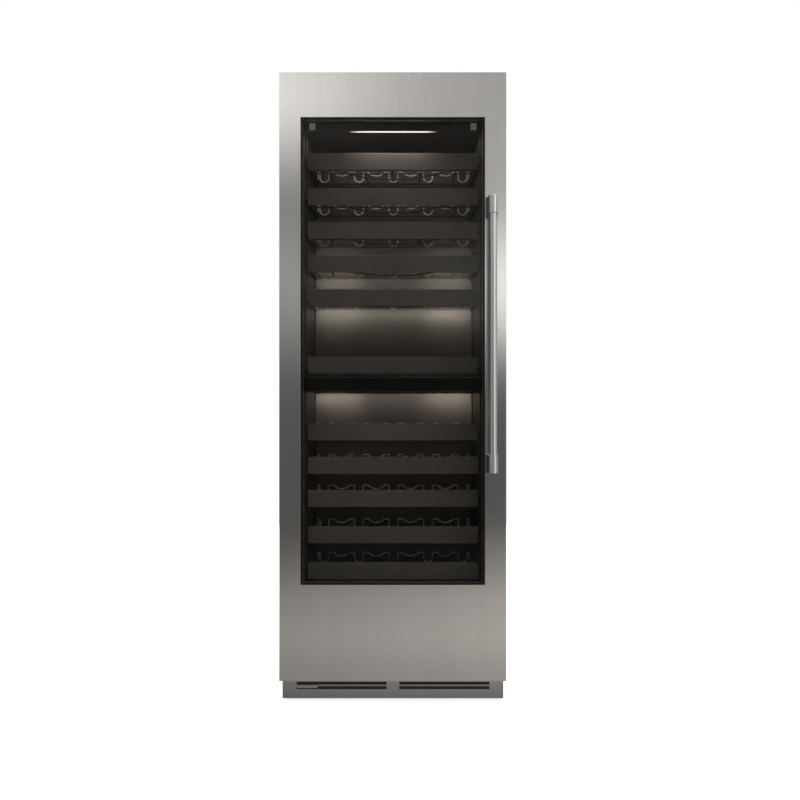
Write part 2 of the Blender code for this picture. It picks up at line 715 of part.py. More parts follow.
def compressor():
    """The welded compressor can, standing on its foot plate and four stubs."""
    centre = COMPRESSOR_CENTRE
    can = [(0.050, 0.060), (0.078, 0.072), (0.085, 0.095), (0.085, 0.150), (0.087, 0.153)]
    can += [(0.087, 0.160), (0.083, 0.163), (0.080, 0.190), (0.066, 0.215), (0.036, 0.229)]
    plate_x = (centre[0] - 0.098, centre[0] + 0.098)
    plate_y = (centre[1] - 0.070, centre[1] + 0.070)
    plate = box(plate_x, plate_y, (0.060, 0.064))
    stubs = []
    for x in (-0.082, 0.082):
        for y in (-0.055, 0.055):
            floor_z = BASE_PAN_Z + BASE_PAN + GAP
            stubs.append(rod(0.009, (centre[0] + x, centre[1] + y), "Z", (floor_z, 0.062), steps=10))
    piece("compressor", combined(turned(can, centre), [plate, *stubs]), "compressor", smooth=True)


def condenser():
    """The finned condenser with its square fan shroud, and the strut that holds the motor."""
    x = (CONDENSER_X - CONDENSER_HALF, CONDENSER_X + CONDENSER_HALF)
    z = (CONDENSER_Z - CONDENSER_HALF, CONDENSER_Z + CONDENSER_HALF)
    centre = (CONDENSER_X, CONDENSER_Z)
    fins = fin_block(x, (-0.110, -0.066), z, 9, 0.010)
    shroud = box((x[0] + 0.001, x[1] - 0.001), (-0.068, -0.014), (z[0] + 0.001, z[1] - 0.001))
    duct = rod(CONDENSER_FAN_RADIUS + 0.006, centre, "Y", (-0.066, 0.010), steps=24)
    housing = combined(shroud, cut=[duct])
    strut_z = (CONDENSER_Z - 0.008, CONDENSER_Z + 0.008)
    strut = box((x[0] + 0.004, x[1] - 0.004), (-0.020, -0.015), strut_z)
    motor = rod(0.022, centre, "Y", (-0.0275, -0.010), steps=12)
    foot_z = (BASE_PAN_Z + BASE_PAN + GAP, z[0] + 0.006)
    foot = box((x[0] + 0.010, x[1] - 0.010), (-0.100, -0.030), foot_z)
    piece("condenser_coil", combined(housing, [fins, strut, motor, foot]), "copper")
    fan_blades("condenser_fan", centre, CONDENSER_FAN_RADIUS, (-0.054, -0.029), 5)


def power_inlet():
    """The recessed three-pin mains socket in the back panel."""
    half_width = INLET_HALF_WIDTH - GAP
    half_tall = INLET_HALF_TALL - GAP
    wall_x = 0.007
    wall_z = 0.005
    floor_y = BACK_Y - 0.024
    body = box(
        (INLET_X - half_width, INLET_X + half_width),
        (floor_y - 0.012, BACK_Y - GAP),
        (INLET_Z - half_tall, INLET_Z + half_tall),
    )
    hollow = box(
        (INLET_X - half_width + wall_x, INLET_X + half_width - wall_x),
        (floor_y, BACK_Y + OVER),
        (INLET_Z - half_tall + wall_z, INLET_Z + half_tall - wall_z),
    )
    pins = []
    for offset_x, offset_z in ((-0.007, -0.003), (0.007, -0.003), (0.0, 0.004)):
        x = INLET_X + offset_x
        z = INLET_Z + offset_z
        pins.append(box((x - 0.002, x + 0.002), (floor_y - 0.002, floor_y + 0.017), (z - 0.001, z + 0.001)))
    piece("power_inlet", combined(combined(body, cut=[hollow]), pins), "black_plastic")


def base_and_machine():
    base_frame()
    toe_grille()
    for side, sign in (("left", -1), ("right", 1)):
        levelling_leg(f"levelling_leg_{side}", sign * LEG_X)
        roller(f"rear_roller_{side}", sign * LEG_X)
    compressor()
    condenser()
    power_inlet()


clear_scene()
door()
hinge_brackets()
outer_case()
back_panel()
foam_insulation()
control_panel()
zones()
racks()
base_and_machine()
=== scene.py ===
import json
import math

import bmesh
import bpy
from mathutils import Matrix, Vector


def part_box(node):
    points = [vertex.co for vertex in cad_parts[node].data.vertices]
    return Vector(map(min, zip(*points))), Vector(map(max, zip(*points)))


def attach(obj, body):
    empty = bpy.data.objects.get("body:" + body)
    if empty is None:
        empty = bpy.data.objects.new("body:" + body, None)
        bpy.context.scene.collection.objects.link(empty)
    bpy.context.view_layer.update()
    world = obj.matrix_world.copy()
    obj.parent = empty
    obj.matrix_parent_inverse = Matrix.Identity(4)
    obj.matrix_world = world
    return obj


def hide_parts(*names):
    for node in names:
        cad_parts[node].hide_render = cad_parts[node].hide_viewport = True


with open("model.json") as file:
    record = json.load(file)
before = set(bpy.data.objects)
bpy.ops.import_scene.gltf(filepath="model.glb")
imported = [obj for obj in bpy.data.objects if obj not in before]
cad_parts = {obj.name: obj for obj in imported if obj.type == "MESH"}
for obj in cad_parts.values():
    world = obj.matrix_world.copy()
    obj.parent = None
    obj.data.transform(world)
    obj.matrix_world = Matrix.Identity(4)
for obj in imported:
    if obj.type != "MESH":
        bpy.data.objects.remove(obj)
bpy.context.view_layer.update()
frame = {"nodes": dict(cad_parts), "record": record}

# ---------------------------------------------------------------------------------------------
# Driving sizes, in metres
# ---------------------------------------------------------------------------------------------
MILLIMETRE = 0.001

CAMERA_PLACE = (0.0243, -3.674, 1.0332)
CAMERA_LENS = 45.6
CAMERA_SENSOR = 36.0

# The window: black ink on the outer pane, and the bar between the panes.
BORDER_WIDTH = 0.0066
BORDER_THICKNESS = 0.0003
SPACER_WIDTH = 0.0060
GASKET_WIDTH = 0.018

# The racks: seats bent into two cross wires, which stand on a frame of thicker wire.
RACK_COUNT = 11
SEAT_COUNT = 9
SEAT_PITCH = 0.0645
SEAT_RADIUS = 0.038
SEAT_HALF = 0.029
SEAT_WIRE = 0.0024
FRONT_SEATS_Y = -0.125
REAR_SEATS_Y = 0.115
NECK_RADIUS = 0.0165
FRONT_NECK_LEG = 0.0115
REAR_NECK_LEG = 0.0200
FRAME_WIRE = 0.0030
RIM_WIRE = 0.0040
RIM_CORNER = 0.012
STAY_PLACES = (-0.226, -0.097, 0.0, 0.097, 0.226)
BOW_WIRE = 0.0026
BOW_HALF = 0.236
BOW_MIDDLE_Y = 0.095
SLIDE_WIDTH = 0.012
SLIDE_HEIGHT = 0.010

# The posts behind the handle's ends widen and heighten by these shares on the way to the door.
POST_HALF = 0.0146
POST_WIDENS = 0.42
POST_HEIGHTENS = 0.22

# The light bars, and the folded sheet of their channels and of the racks' slides.
SHEET = 0.0012
PLUG = 0.0016
LIGHT_BAR_TALL = 0.0060
LENS_BULGE = {"upper": 0.0036, "lower": 0.0004}
WARM_LIGHT = (1.0, 0.93, 0.82)

# The toe grille's air filter and release tab.
FILTER_HALF = 0.340
FILTER_LOW_Z = 0.031
FILTER_HIGH_Z = 0.069
FILTER_RIM = 0.004
PLEAT_COUNT = 170
TAB_X = (-0.331, -0.259)
TAB_Z = (0.0412, 0.0526)

# Small parts of the cabinet. The rim caps reach from below the upper ceiling to above it.
BRACKET_PLATE = 0.0040
CAP_NEAR_X = 0.266
CAP_FAR_X = 0.286
CAP_BELOW_CEILING = 0.0055
CAP_ABOVE_CEILING = 0.0330
PANEL_LINE_DROP = 0.0060
PANEL_LINE_TALL = 0.0012
SCREWS_PER_SIDE = 9
SCREWS_PER_END = 3
SCREW_FROM_SIDE = 0.010
SCREW_FROM_END = 0.012

# The lamps that wash the rear wall: how far from the middle and from the wall they hang.
WASH_X = 0.215
WASH_END_GAP = 0.075
WASH_MIDDLE_GAP = 0.070

# How far the rack strips' edges are rounded, then the other CAD nodes that are rounded and how far.
STRIP_EDGE = 0.0012
SOFT_EDGES = (
    ("handle_bar", 0.0006),
    ("handle_end_lower", 0.0014),
    ("handle_end_upper", 0.0014),
    ("hinge_bracket_upper", 0.0006),
    ("hinge_bracket_lower", 0.0006),
    ("power_inlet", 0.0006),
    ("toe_grille", 0.0003),
)

# What the steel mirrors of the floor, as (share of FLOOR_RADIUS in front of the object, brightness):
# painted light, dimmed close to the object as painted shade.
FLOOR_RADIUS = 5.0
FLOOR_GLOW = (
    (0.0, 0.20),
    (0.03, 0.25),
    (0.08, 0.41),
    (0.22, 0.51),
    (0.36, 0.46),
    (0.60, 0.28),
    (1.0, 0.12),
)


# ---------------------------------------------------------------------------------------------
# Finishes
# ---------------------------------------------------------------------------------------------
class Finish:
    """A node material being made: patterns in the object's own metres drive colour, roughness and bump."""

    def __init__(self, name, colour, roughness, metallic=0.0):
        self.material = bpy.data.materials.new(name)
        self.material.use_nodes = True
        self.tree = self.material.node_tree
        self.shader = self.tree.nodes["Principled BSDF"]
        self.put("Base Color", (*colour, 1.0))
        self.put("Roughness", roughness)
        self.put("Metallic", metallic)
        self.place = self.add("ShaderNodeTexCoord").outputs["Object"]

    def put(self, socket, value):
        self.shader.inputs[socket].default_value = value
        return self

    def add(self, kind, **settings):
        node = self.tree.nodes.new(kind)
        for key, value in settings.items():
            setattr(node, key, value)
        return node

    def feed(self, node, socket, source):
        self.tree.links.new(source, node.inputs[socket])

    def stretched(self, stretch):
        """The object's coordinates, multiplied axis by axis."""
        node = self.add("ShaderNodeVectorMath", operation="MULTIPLY")
        self.feed(node, 0, self.place)
        node.inputs[1].default_value = stretch
        return node.outputs["Vector"]

    def noise(self, scale, stretch=(1.0, 1.0, 1.0), detail=3.0, rough=0.5):
        node = self.add("ShaderNodeTexNoise")
        self.feed(node, "Vector", self.stretched(stretch))
        node.inputs["Scale"].default_value = scale
        node.inputs["Detail"].default_value = detail
        node.inputs["Roughness"].default_value = rough
        return node.outputs["Fac"]

    def cells(self, scale, stretch=(1.0, 1.0, 1.0), output="Color"):
        node = self.add("ShaderNodeTexVoronoi")
        self.feed(node, "Vector", self.stretched(stretch))
        node.inputs["Scale"].default_value = scale
        return node.outputs[output]

    def bands(self, scale, axis="X", distortion=0.0):
        node = self.add("ShaderNodeTexWave", bands_direction=axis)
        self.feed(node, "Vector", self.place)
        node.inputs["Scale"].default_value = scale
        node.inputs["Distortion"].default_value = distortion
        return node.outputs["Fac"]

    def mixed(self, first, second, share):
        """Two patterns blended, share of the second one."""
        node = self.add("ShaderNodeMix", data_type="FLOAT")
        node.inputs[0].default_value = share
        self.feed(node, 2, first)
        self.feed(node, 3, second)
        return node.outputs[0]

    def ranged(self, pattern, low, high, start=0.3, end=0.7):
        node = self.add("ShaderNodeMapRange")
        self.feed(node, "Value", pattern)
        node.inputs["From Min"].default_value = start
        node.inputs["From Max"].default_value = end
        node.inputs["To Min"].default_value = low
        node.inputs["To Max"].default_value = high
        return node.outputs["Result"]

    def colours(self, pattern, dark, light, start=0.3, end=0.7):
        node = self.add("ShaderNodeValToRGB")
        self.feed(node, "Fac", pattern)
        ramp = node.color_ramp
        ramp.elements[0].position = start
        ramp.elements[0].color = (*dark, 1.0)
        ramp.elements[1].position = end
        ramp.elements[1].color = (*light, 1.0)
        self.feed(self.shader, "Base Color", node.outputs["Color"])
        return self

    def roughness(self, pattern, low, high, start=0.3, end=0.7):
        self.feed(self.shader, "Roughness", self.ranged(pattern, low, high, start, end))
        return self

    def bump(self, height, strength, distance):
        node = self.add("ShaderNodeBump")
        node.inputs["Strength"].default_value = strength
        node.inputs["Distance"].default_value = distance
        self.feed(node, "Height", height)
        self.feed(self.shader, "Normal", node.outputs["Normal"])
        return self

    def grain_direction(self, axis, strength):
        """Streaks the gloss across the brushing."""
        node = self.add("ShaderNodeTangent", direction_type="RADIAL", axis=axis)
        self.feed(self.shader, "Tangent", node.outputs["Tangent"])
        return self.put("Anisotropic", strength)


def brushed_stainless():
    f = Finish("stainless", (0.60, 0.585, 0.56), 0.15, 1.0)
    fine = f.noise(90.0, (14.0, 14.0, 0.25), 4.0, 0.6)
    broad = f.noise(7.0, (5.0, 5.0, 0.5), 2.0)
    both = f.mixed(fine, broad, 0.4)
    f.colours(both, (0.580, 0.560, 0.532), (0.640, 0.622, 0.595))
    f.roughness(fine, 0.13, 0.18)
    f.bump(fine, 0.08, 0.02 * MILLIMETRE)
    return f.grain_direction("Z", 0.70).material


def satin_handle():
    f = Finish("handle_metal", (0.52, 0.515, 0.51), 0.24, 1.0)
    grain = f.noise(120.0, (10.0, 10.0, 0.3), 4.0, 0.6)
    f.colours(grain, (0.48, 0.475, 0.47), (0.56, 0.555, 0.55))
    f.roughness(grain, 0.26, 0.36)
    return f.bump(grain, 0.12, 0.02 * MILLIMETRE).material


def post_finish_painted_shade():
    """The handle's posts: the same satin metal, rougher, with its colour about halved as painted shade."""
    f = Finish("post_metal_painted_shade", (0.28, 0.277, 0.274), 0.42, 1.0)
    cloud = f.noise(40.0)
    f.colours(cloud, (0.25, 0.247, 0.244), (0.31, 0.306, 0.302))
    f.roughness(cloud, 0.36, 0.50)
    return f.bump(f.noise(700.0), 0.05, 0.02 * MILLIMETRE).material


def black_frame():
    f = Finish("door_frame", (0.014, 0.014, 0.014), 0.5)
    grain = f.noise(1400.0, detail=2.0)
    cloud = f.noise(9.0)
    f.colours(cloud, (0.012, 0.012, 0.012), (0.019, 0.0185, 0.018))
    f.roughness(cloud, 0.42, 0.58)
    return f.bump(grain, 0.25, 0.1 * MILLIMETRE).material


def tinted_glass():
    f = Finish("door_glass", (0.622, 0.608, 0.592), 0.0)
    f.put("Transmission Weight", 1.0)
    f.put("IOR", 1.16)
    cloud = f.noise(2.5, detail=1.0)
    return f.colours(cloud, (0.602, 0.588, 0.573), (0.642, 0.628, 0.612)).material


def soft_seal():
    f = Finish("seal_rubber", (0.018, 0.018, 0.018), 0.62)
    cloud = f.noise(30.0)
    f.colours(cloud, (0.015, 0.015, 0.015), (0.025, 0.0245, 0.024))
    f.roughness(cloud, 0.55, 0.7)
    return f.bump(f.noise(700.0), 0.2, 0.1 * MILLIMETRE).material


def galvanised():
    f = Finish("galvanised_steel", (0.48, 0.49, 0.50), 0.42, 0.9)
    spangle = f.cells(85.0)
    fine = f.noise(260.0, detail=2.0)
    both = f.mixed(spangle, fine, 0.35)
    f.colours(both, (0.40, 0.41, 0.42), (0.55, 0.56, 0.57), 0.2, 0.8)
    f.roughness(spangle, 0.34, 0.50, 0.1, 0.9)
    return f.bump(fine, 0.1, 0.05 * MILLIMETRE).material


def case_coat():
    f = Finish("case_paint", (0.30, 0.30, 0.30), 0.42)
    peel = f.noise(420.0, detail=2.0)
    cloud = f.noise(4.0)
    f.colours(cloud, (0.285, 0.285, 0.283), (0.320, 0.320, 0.317))
    f.roughness(cloud, 0.36, 0.48)
    return f.bump(peel, 0.18, 0.08 * MILLIMETRE).material


def rigid_foam():
    f = Finish("foam", (0.78, 0.70, 0.46), 0.85)
    cell = f.cells(500.0, output="Distance")
    f.colours(f.noise(18.0), (0.70, 0.61, 0.38), (0.82, 0.74, 0.50))
    return f.bump(cell, 0.5, 0.4 * MILLIMETRE).material


def liner_plastic():
    f = Finish("liner_plastic", (0.078, 0.064, 0.062), 0.5)
    grain = f.noise(1100.0, detail=2.0)
    cloud = f.noise(6.0)
    f.colours(cloud, (0.072, 0.059, 0.057), (0.085, 0.069, 0.067))
    f.roughness(cloud, 0.42, 0.56)
    return f.bump(grain, 0.22, 0.12 * MILLIMETRE).material


def control_gloss():
    f = Finish("control_glass", (0.006, 0.006, 0.007), 0.08)
    smear = f.noise(12.0, (1.0, 1.0, 3.0))
    f.colours(smear, (0.005, 0.005, 0.006), (0.008, 0.008, 0.009))
    f.roughness(smear, 0.06, 0.16)
    return f.put("Coat Weight", 0.5).material


def duct_paint():
    f = Finish("duct_paint", (0.115, 0.111, 0.101), 0.45)
    cloud = f.noise(5.0)
    f.colours(cloud, (0.109, 0.105, 0.096), (0.121, 0.117, 0.107))
    f.roughness(cloud, 0.38, 0.52)
    return f.bump(f.noise(600.0), 0.12, 0.08 * MILLIMETRE).material


def fin_aluminium():
    f = Finish("fin_aluminium", (0.60, 0.60, 0.60), 0.38, 1.0)
    fin_ridges_painted_gap_shade = f.bands(140.0)
    # Painted shade: the bands between the fins are drawn dark; the bump gives the fins their relief.
    f.colours(fin_ridges_painted_gap_shade, (0.22, 0.22, 0.22), (0.66, 0.66, 0.66), 0.2, 0.75)
    f.roughness(f.noise(60.0), 0.3, 0.46)
    return f.bump(fin_ridges_painted_gap_shade, 0.6, 0.6 * MILLIMETRE).material


def fan_plastic():
    f = Finish("fan_plastic", (0.02, 0.02, 0.02), 0.45)
    cloud = f.noise(40.0)
    f.colours(cloud, (0.017, 0.017, 0.017), (0.027, 0.027, 0.027))
    f.roughness(cloud, 0.36, 0.52)
    return f.bump(f.noise(900.0), 0.15, 0.1 * MILLIMETRE).material


def led_light():
    """A frosted strip, brightest along its middle and fading at both ends."""
    f = Finish("led_light", (0.95, 0.90, 0.82), 0.35)
    apart = f.add("ShaderNodeSeparateXYZ")
    f.feed(apart, "Vector", f.place)
    off = f.add("ShaderNodeMath", operation="ABSOLUTE")
    f.feed(off, 0, apart.outputs["X"])
    fade = f.add("ShaderNodeMapRange", interpolation_type="SMOOTHSTEP")
    f.feed(fade, "Value", off.outputs[0])
    fade.inputs["From Min"].default_value = 0.112
    fade.inputs["From Max"].default_value = 0.149
    fade.inputs["To Min"].default_value = 2.8
    fade.inputs["To Max"].default_value = 0.0
    f.feed(f.shader, "Emission Strength", fade.outputs["Result"])
    f.put("Emission Color", (1.0, 0.87, 0.81, 1.0))
    return f.bump(f.noise(500.0), 0.1, 0.1 * MILLIMETRE).material


def rail_metal():
    f = Finish("rail_metal", (0.055, 0.052, 0.048), 0.4)
    cloud = f.noise(20.0)
    f.colours(cloud, (0.048, 0.045, 0.041), (0.064, 0.060, 0.055))
    f.roughness(cloud, 0.32, 0.46)
    return f.bump(f.noise(500.0), 0.12, 0.08 * MILLIMETRE).material


def roller_plastic():
    f = Finish("roller_plastic", (0.05, 0.05, 0.05), 0.4)
    scuffs = f.noise(90.0, (1.0, 3.0, 3.0))
    f.colours(scuffs, (0.04, 0.04, 0.04), (0.075, 0.073, 0.07))
    return f.roughness(scuffs, 0.32, 0.6).bump(scuffs, 0.2, 0.1 * MILLIMETRE).material


def compressor_paint():
    f = Finish("compressor_paint", (0.02, 0.02, 0.022), 0.28)
    cloud = f.noise(16.0)
    f.colours(cloud, (0.016, 0.016, 0.018), (0.030, 0.030, 0.032))
    f.roughness(cloud, 0.2, 0.42)
    return f.bump(f.noise(300.0), 0.15, 0.1 * MILLIMETRE).material


def condenser_metal():
    f = Finish("condenser_metal", (0.45, 0.40, 0.36), 0.45, 0.8)
    fin_ridges_painted_gap_shade = f.bands(110.0)
    # Painted shade: the bands between the fins are drawn dark; the bump gives the fins their relief.
    f.colours(fin_ridges_painted_gap_shade, (0.16, 0.14, 0.13), (0.52, 0.46, 0.41), 0.2, 0.75)
    f.roughness(f.noise(60.0), 0.36, 0.52)
    return f.bump(fin_ridges_painted_gap_shade, 0.6, 0.6 * MILLIMETRE).material


def nickel_wire_painted_sheen():
    # Painted sheen: paler than nickel and half diffuse, so the seats show bright in the dim cabinet.
    f = Finish("rack_wire", (0.86, 0.85, 0.82), 0.30, 0.5)
    cloud = f.noise(45.0)
    f.colours(cloud, (0.82, 0.81, 0.78), (0.90, 0.89, 0.86))
    f.roughness(cloud, 0.24, 0.36)
    return f.bump(f.noise(800.0), 0.06, 0.05 * MILLIMETRE).material


def strip_coat():
    f = Finish("rack_strip", (0.175, 0.168, 0.155), 0.42)
    grain = f.noise(160.0, (0.3, 8.0, 8.0), 3.0)
    cloud = f.noise(5.0)
    both = f.mixed(grain, cloud, 0.5)
    f.colours(both, (0.165, 0.158, 0.145), (0.187, 0.180, 0.166))
    f.roughness(cloud, 0.36, 0.48)
    return f.bump(grain, 0.03, 0.005 * MILLIMETRE).material


def frame_wire_painted_shade():
    # Painted shade: the rack's frame is the same wire as its seats, drawn near black.
    f = Finish("rack_frame_wire_shaded", (0.060, 0.057, 0.053), 0.40, 0.3)
    cloud = f.noise(30.0)
    f.colours(cloud, (0.052, 0.049, 0.046), (0.070, 0.067, 0.062))
    f.roughness(cloud, 0.34, 0.46)
    return f.bump(f.noise(700.0), 0.06, 0.05 * MILLIMETRE).material


def border_ink():
    f = Finish("border_ink", (0.004, 0.004, 0.004), 0.22)
    cloud = f.noise(60.0)
    f.colours(cloud, (0.0035, 0.0035, 0.0035), (0.006, 0.006, 0.006))
    return f.roughness(cloud, 0.18, 0.28).material


def spacer_metal():
    f = Finish("spacer_metal", (0.30, 0.30, 0.30), 0.4, 1.0)
    holes_with_painted_shade = f.cells(420.0, output="Distance")
    # Painted shade: the spacer's small perforations are drawn dark; the bump dents them.
    f.colours(holes_with_painted_shade, (0.16, 0.16, 0.16), (0.32, 0.32, 0.32), 0.1, 0.4)
    return f.roughness(holes_with_painted_shade, 0.3, 0.5).bump(holes_with_painted_shade, 0.3, 0.2 * MILLIMETRE).material


def pale_cap_painted_glow():
    f = Finish("pale_cap_painted_glow", (0.82, 0.81, 0.72), 0.4)
    cloud = f.noise(60.0)
    f.colours(cloud, (0.78, 0.77, 0.68), (0.86, 0.85, 0.76))
    # Painted glow: a faint emission on a cap that is no lamp.
    f.put("Emission Color", (1.0, 0.98, 0.84, 1.0)).put("Emission Strength", 0.14)
    return f.roughness(cloud, 0.32, 0.48).bump(f.noise(900.0), 0.1, 0.1 * MILLIMETRE).material


def zinc_plate():
    f = Finish("zinc_plate", (0.46, 0.45, 0.42), 0.34, 1.0)
    cloud = f.noise(50.0, (1.0, 0.3, 1.0))
    f.colours(cloud, (0.40, 0.39, 0.36), (0.52, 0.51, 0.48))
    return f.roughness(cloud, 0.26, 0.42).bump(f.noise(500.0), 0.08, 0.05 * MILLIMETRE).material


FINISHES = {
    "stainless": brushed_stainless(),
    "handle_metal": satin_handle(),
    "door_frame": black_frame(),
    "door_glass": tinted_glass(),
    "seal_rubber": soft_seal(),
    "galvanised_steel": galvanised(),
    "case_paint": case_coat(),
    "foam": rigid_foam(),
    "liner_plastic": liner_plastic(),
    "control_glass": control_gloss(),
    "duct_paint": duct_paint(),
    "fin_aluminium": fin_aluminium(),
    "fan_plastic": fan_plastic(),
    "led_light": led_light(),
    "rail_metal": rail_metal(),
    "roller_plastic": roller_plastic(),
    "compressor_paint": compressor_paint(),
    "condenser_metal": condenser_metal(),
    "rack_wire": nickel_wire_painted_sheen(),
    "rack_strip": strip_coat(),
}
INK = border_ink()
SPACER = spacer_metal()
CAP_PAINTED_GLOW = pale_cap_painted_glow()
ZINC = zinc_plate()
FRAME_WIRE_PAINTED_SHADE = frame_wire_painted_shade()
POST_METAL_PAINTED_SHADE = post_finish_painted_shade()


# ---------------------------------------------------------------------------------------------
# Mesh helpers
# ---------------------------------------------------------------------------------------------
def as_piece(name, mesh, material, body, smooth=True):
    """A finished piece of the object, riding on a CAD body."""
    mesh.name = name
    mesh.materials.clear()
    mesh.materials.append(material)
    for face in mesh.polygons:
        face.material_index = 0
        face.use_smooth = smooth
    obj = bpy.data.objects.new(name, mesh)
    bpy.context.scene.collection.objects.link(obj)
    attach(obj, body)
    return obj


def joined(meshes):
    """Several meshes as one."""
    bm = bmesh.new()
    for mesh in meshes:
        bm.from_mesh(mesh)
        bpy.data.meshes.remove(mesh)
    made = bpy.data.meshes.new("joined")
    bm.to_mesh(made)
    bm.free()
    return made


def tubes(paths, radius, sides=3):
    """Round wires of one radius along the given paths, with closed ends and 2 * sides + 4 sides each."""
    curve = bpy.data.curves.new("wire", "CURVE")
    curve.dimensions = "3D"
    curve.bevel_depth = radius
    curve.bevel_resolution = sides
    curve.use_fill_caps = True
    for path in paths:
        spline = curve.splines.new("POLY")
        spline.points.add(len(path) - 1)
        for point, place in zip(spline.points, path):
            point.co = (*place, 1.0)
    obj = bpy.data.objects.new("wire", curve)
    bpy.context.scene.collection.objects.link(obj)
    seen = obj.evaluated_get(bpy.context.evaluated_depsgraph_get())
    mesh = bpy.data.meshes.new_from_object(seen)
    bpy.data.objects.remove(obj)
    bpy.data.curves.remove(curve)
    return mesh


def rounded(points, radius, steps=6):
    """A path with its inner corners turned into arcs."""
    path = [Vector(points[0])]
    for before, corner, after in zip(points, points[1:], points[2:]):
        corner = Vector(corner)
        back = Vector(before) - corner
        ahead = Vector(after) - corner
        reach = min(radius, back.length * 0.48, ahead.length * 0.48)
        start = corner + back.normalized() * reach
        end = corner + ahead.normalized() * reach
        for i in range(steps + 1):
            t = i / steps
            path.append(start * (1 - t) ** 2 + corner * 2 * t * (1 - t) + end * t ** 2)
    path.append(Vector(points[-1]))
    return path


def block(x, y, z, bevel=0.0, segments=2):
    """A rectangular body between pairs of coordinates, with its edges rounded."""
    bm = bmesh.new()
    bmesh.ops.create_cube(bm, size=1.0)
    size = Vector((x[1] - x[0], y[1] - y[0], z[1] - z[0]))
    middle = Vector((x[0] + x[1], y[0] + y[1], z[0] + z[1])) / 2
    for v in bm.verts:
        v.co = Vector((v.co.x * size.x, v.co.y * size.y, v.co.z * size.z)) + middle
    if bevel:
        bmesh.ops.bevel(bm, geom=bm.edges[:], offset=bevel, segments=segments, affect="EDGES", profile=0.5)
    mesh = bpy.data.meshes.new("block")
    bm.to_mesh(mesh)
    bm.free()
    return mesh


def closed_between(bm, ends, name):
    """A mesh that joins two matching outlines of vertices and caps both."""
    first, last = ends
    for i in range(len(first)):
        j = (i + 1) % len(first)
        bm.faces.new((first[i], first[j], last[j], last[i]))
    bm.faces.new(first)
    bm.faces.new(last)
    bmesh.ops.recalc_face_normals(bm, faces=bm.faces[:])
    mesh = bpy.data.meshes.new(name)
    bm.to_mesh(mesh)
    bm.free()
    return mesh


def extruded(outline, x):
    """A closed (y, z) outline carried along x, with flat ends."""
    bm = bmesh.new()
    ends = []
    for place in x:
        ends.append([bm.verts.new((place, y, z)) for y, z in outline])
    return closed_between(bm, ends, "extruded")


def frame_ring(window, profile):
    """A mitred frame: window is its outer (x0, x1, z0, z1), profile its section as (inset, y) points."""
    x0, x1, z0, z1 = window
    corners = ((x0, z0, 1, 1), (x1, z0, -1, 1), (x1, z1, -1, -1), (x0, z1, 1, -1))
    bm = bmesh.new()
    loops = []
    for x, z, in_x, in_z in corners:
        loops.append([bm.verts.new((x + in_x * inset, y, z + in_z * inset)) for inset, y in profile])
    for loop, following in zip(loops, loops[1:] + loops[:1]):
        for i in range(len(profile)):
            j = (i + 1) % len(profile)
            bm.faces.new((loop[i], loop[j], following[j], following[i]))
    bmesh.ops.recalc_face_normals(bm, faces=bm.faces[:])
    mesh = bpy.data.meshes.new("ring")
    bm.to_mesh(mesh)
    bm.free()
    return mesh


# ---------------------------------------------------------------------------------------------
# CAD nodes: finishes and soft edges
# ---------------------------------------------------------------------------------------------
def finish_cad_nodes():
    """Each CAD node takes the finish named by the record."""
    for part in frame["record"]["subparts"]:
        node = frame["nodes"][part["node"]]
        material = FINISHES[part["material_slot"]]
        if not node.material_slots:
            node.data.materials.append(material)
        for place in node.material_slots:
            place.material = material


def soften(node, width, segments=2):
    """Rounds a CAD node's sharp edges with modifiers, leaving its mesh alone."""
    obj = frame["nodes"][node]
    weld = obj.modifiers.new("weld", "WELD")
    weld.merge_threshold = 0.00001
    bevel = obj.modifiers.new("bevel", "BEVEL")
    bevel.width = width
    bevel.segments = segments
    bevel.limit_method = "ANGLE"
    bevel.angle_limit = math.radians(40)
    bevel.harden_normals = False


def glass_panes():
    """Light passes the panes unhindered."""
    for name in ("door_glass_outer", "door_glass_inner"):
        frame["nodes"][name].visible_shadow = False


# ---------------------------------------------------------------------------------------------
# Door details
# ---------------------------------------------------------------------------------------------
def window_edges():
    """The window's (x0, x1, z0, z1), from the outer pane."""
    low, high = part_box("door_glass_outer")
    return low.x, high.x, low.z, high.z


def glass_border():
    """The black ink printed round the outer pane's rear face."""
    y0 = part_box("door_glass_outer")[1].y + 0.0001
    y1 = y0 + BORDER_THICKNESS
    profile = ((0.0, y0), (BORDER_WIDTH, y0), (BORDER_WIDTH, y1), (0.0, y1))
    border = frame_ring(window_edges(), profile)
    as_piece("door_glass_border", border, INK, "door", smooth=False)


def glass_spacer():
    """The hollow bar that holds the two panes apart."""
    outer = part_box("door_glass_outer")[1].y
    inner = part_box("door_glass_inner")[0].y
    y0 = outer + 0.0012
    y1 = inner - 0.0006
    side = 0.0012
    width = SPACER_WIDTH
    chamfer = 0.0018
    profile = (
        (side, y0),
        (width - chamfer, y0),
        (width, y0 + chamfer),
        (width, y1 - chamfer),
        (width - chamfer, y1),
        (side, y1),
    )
    spacer = frame_ring(window_edges(), profile)
    as_piece("door_glass_spacer", spacer, SPACER, "door", smooth=False)


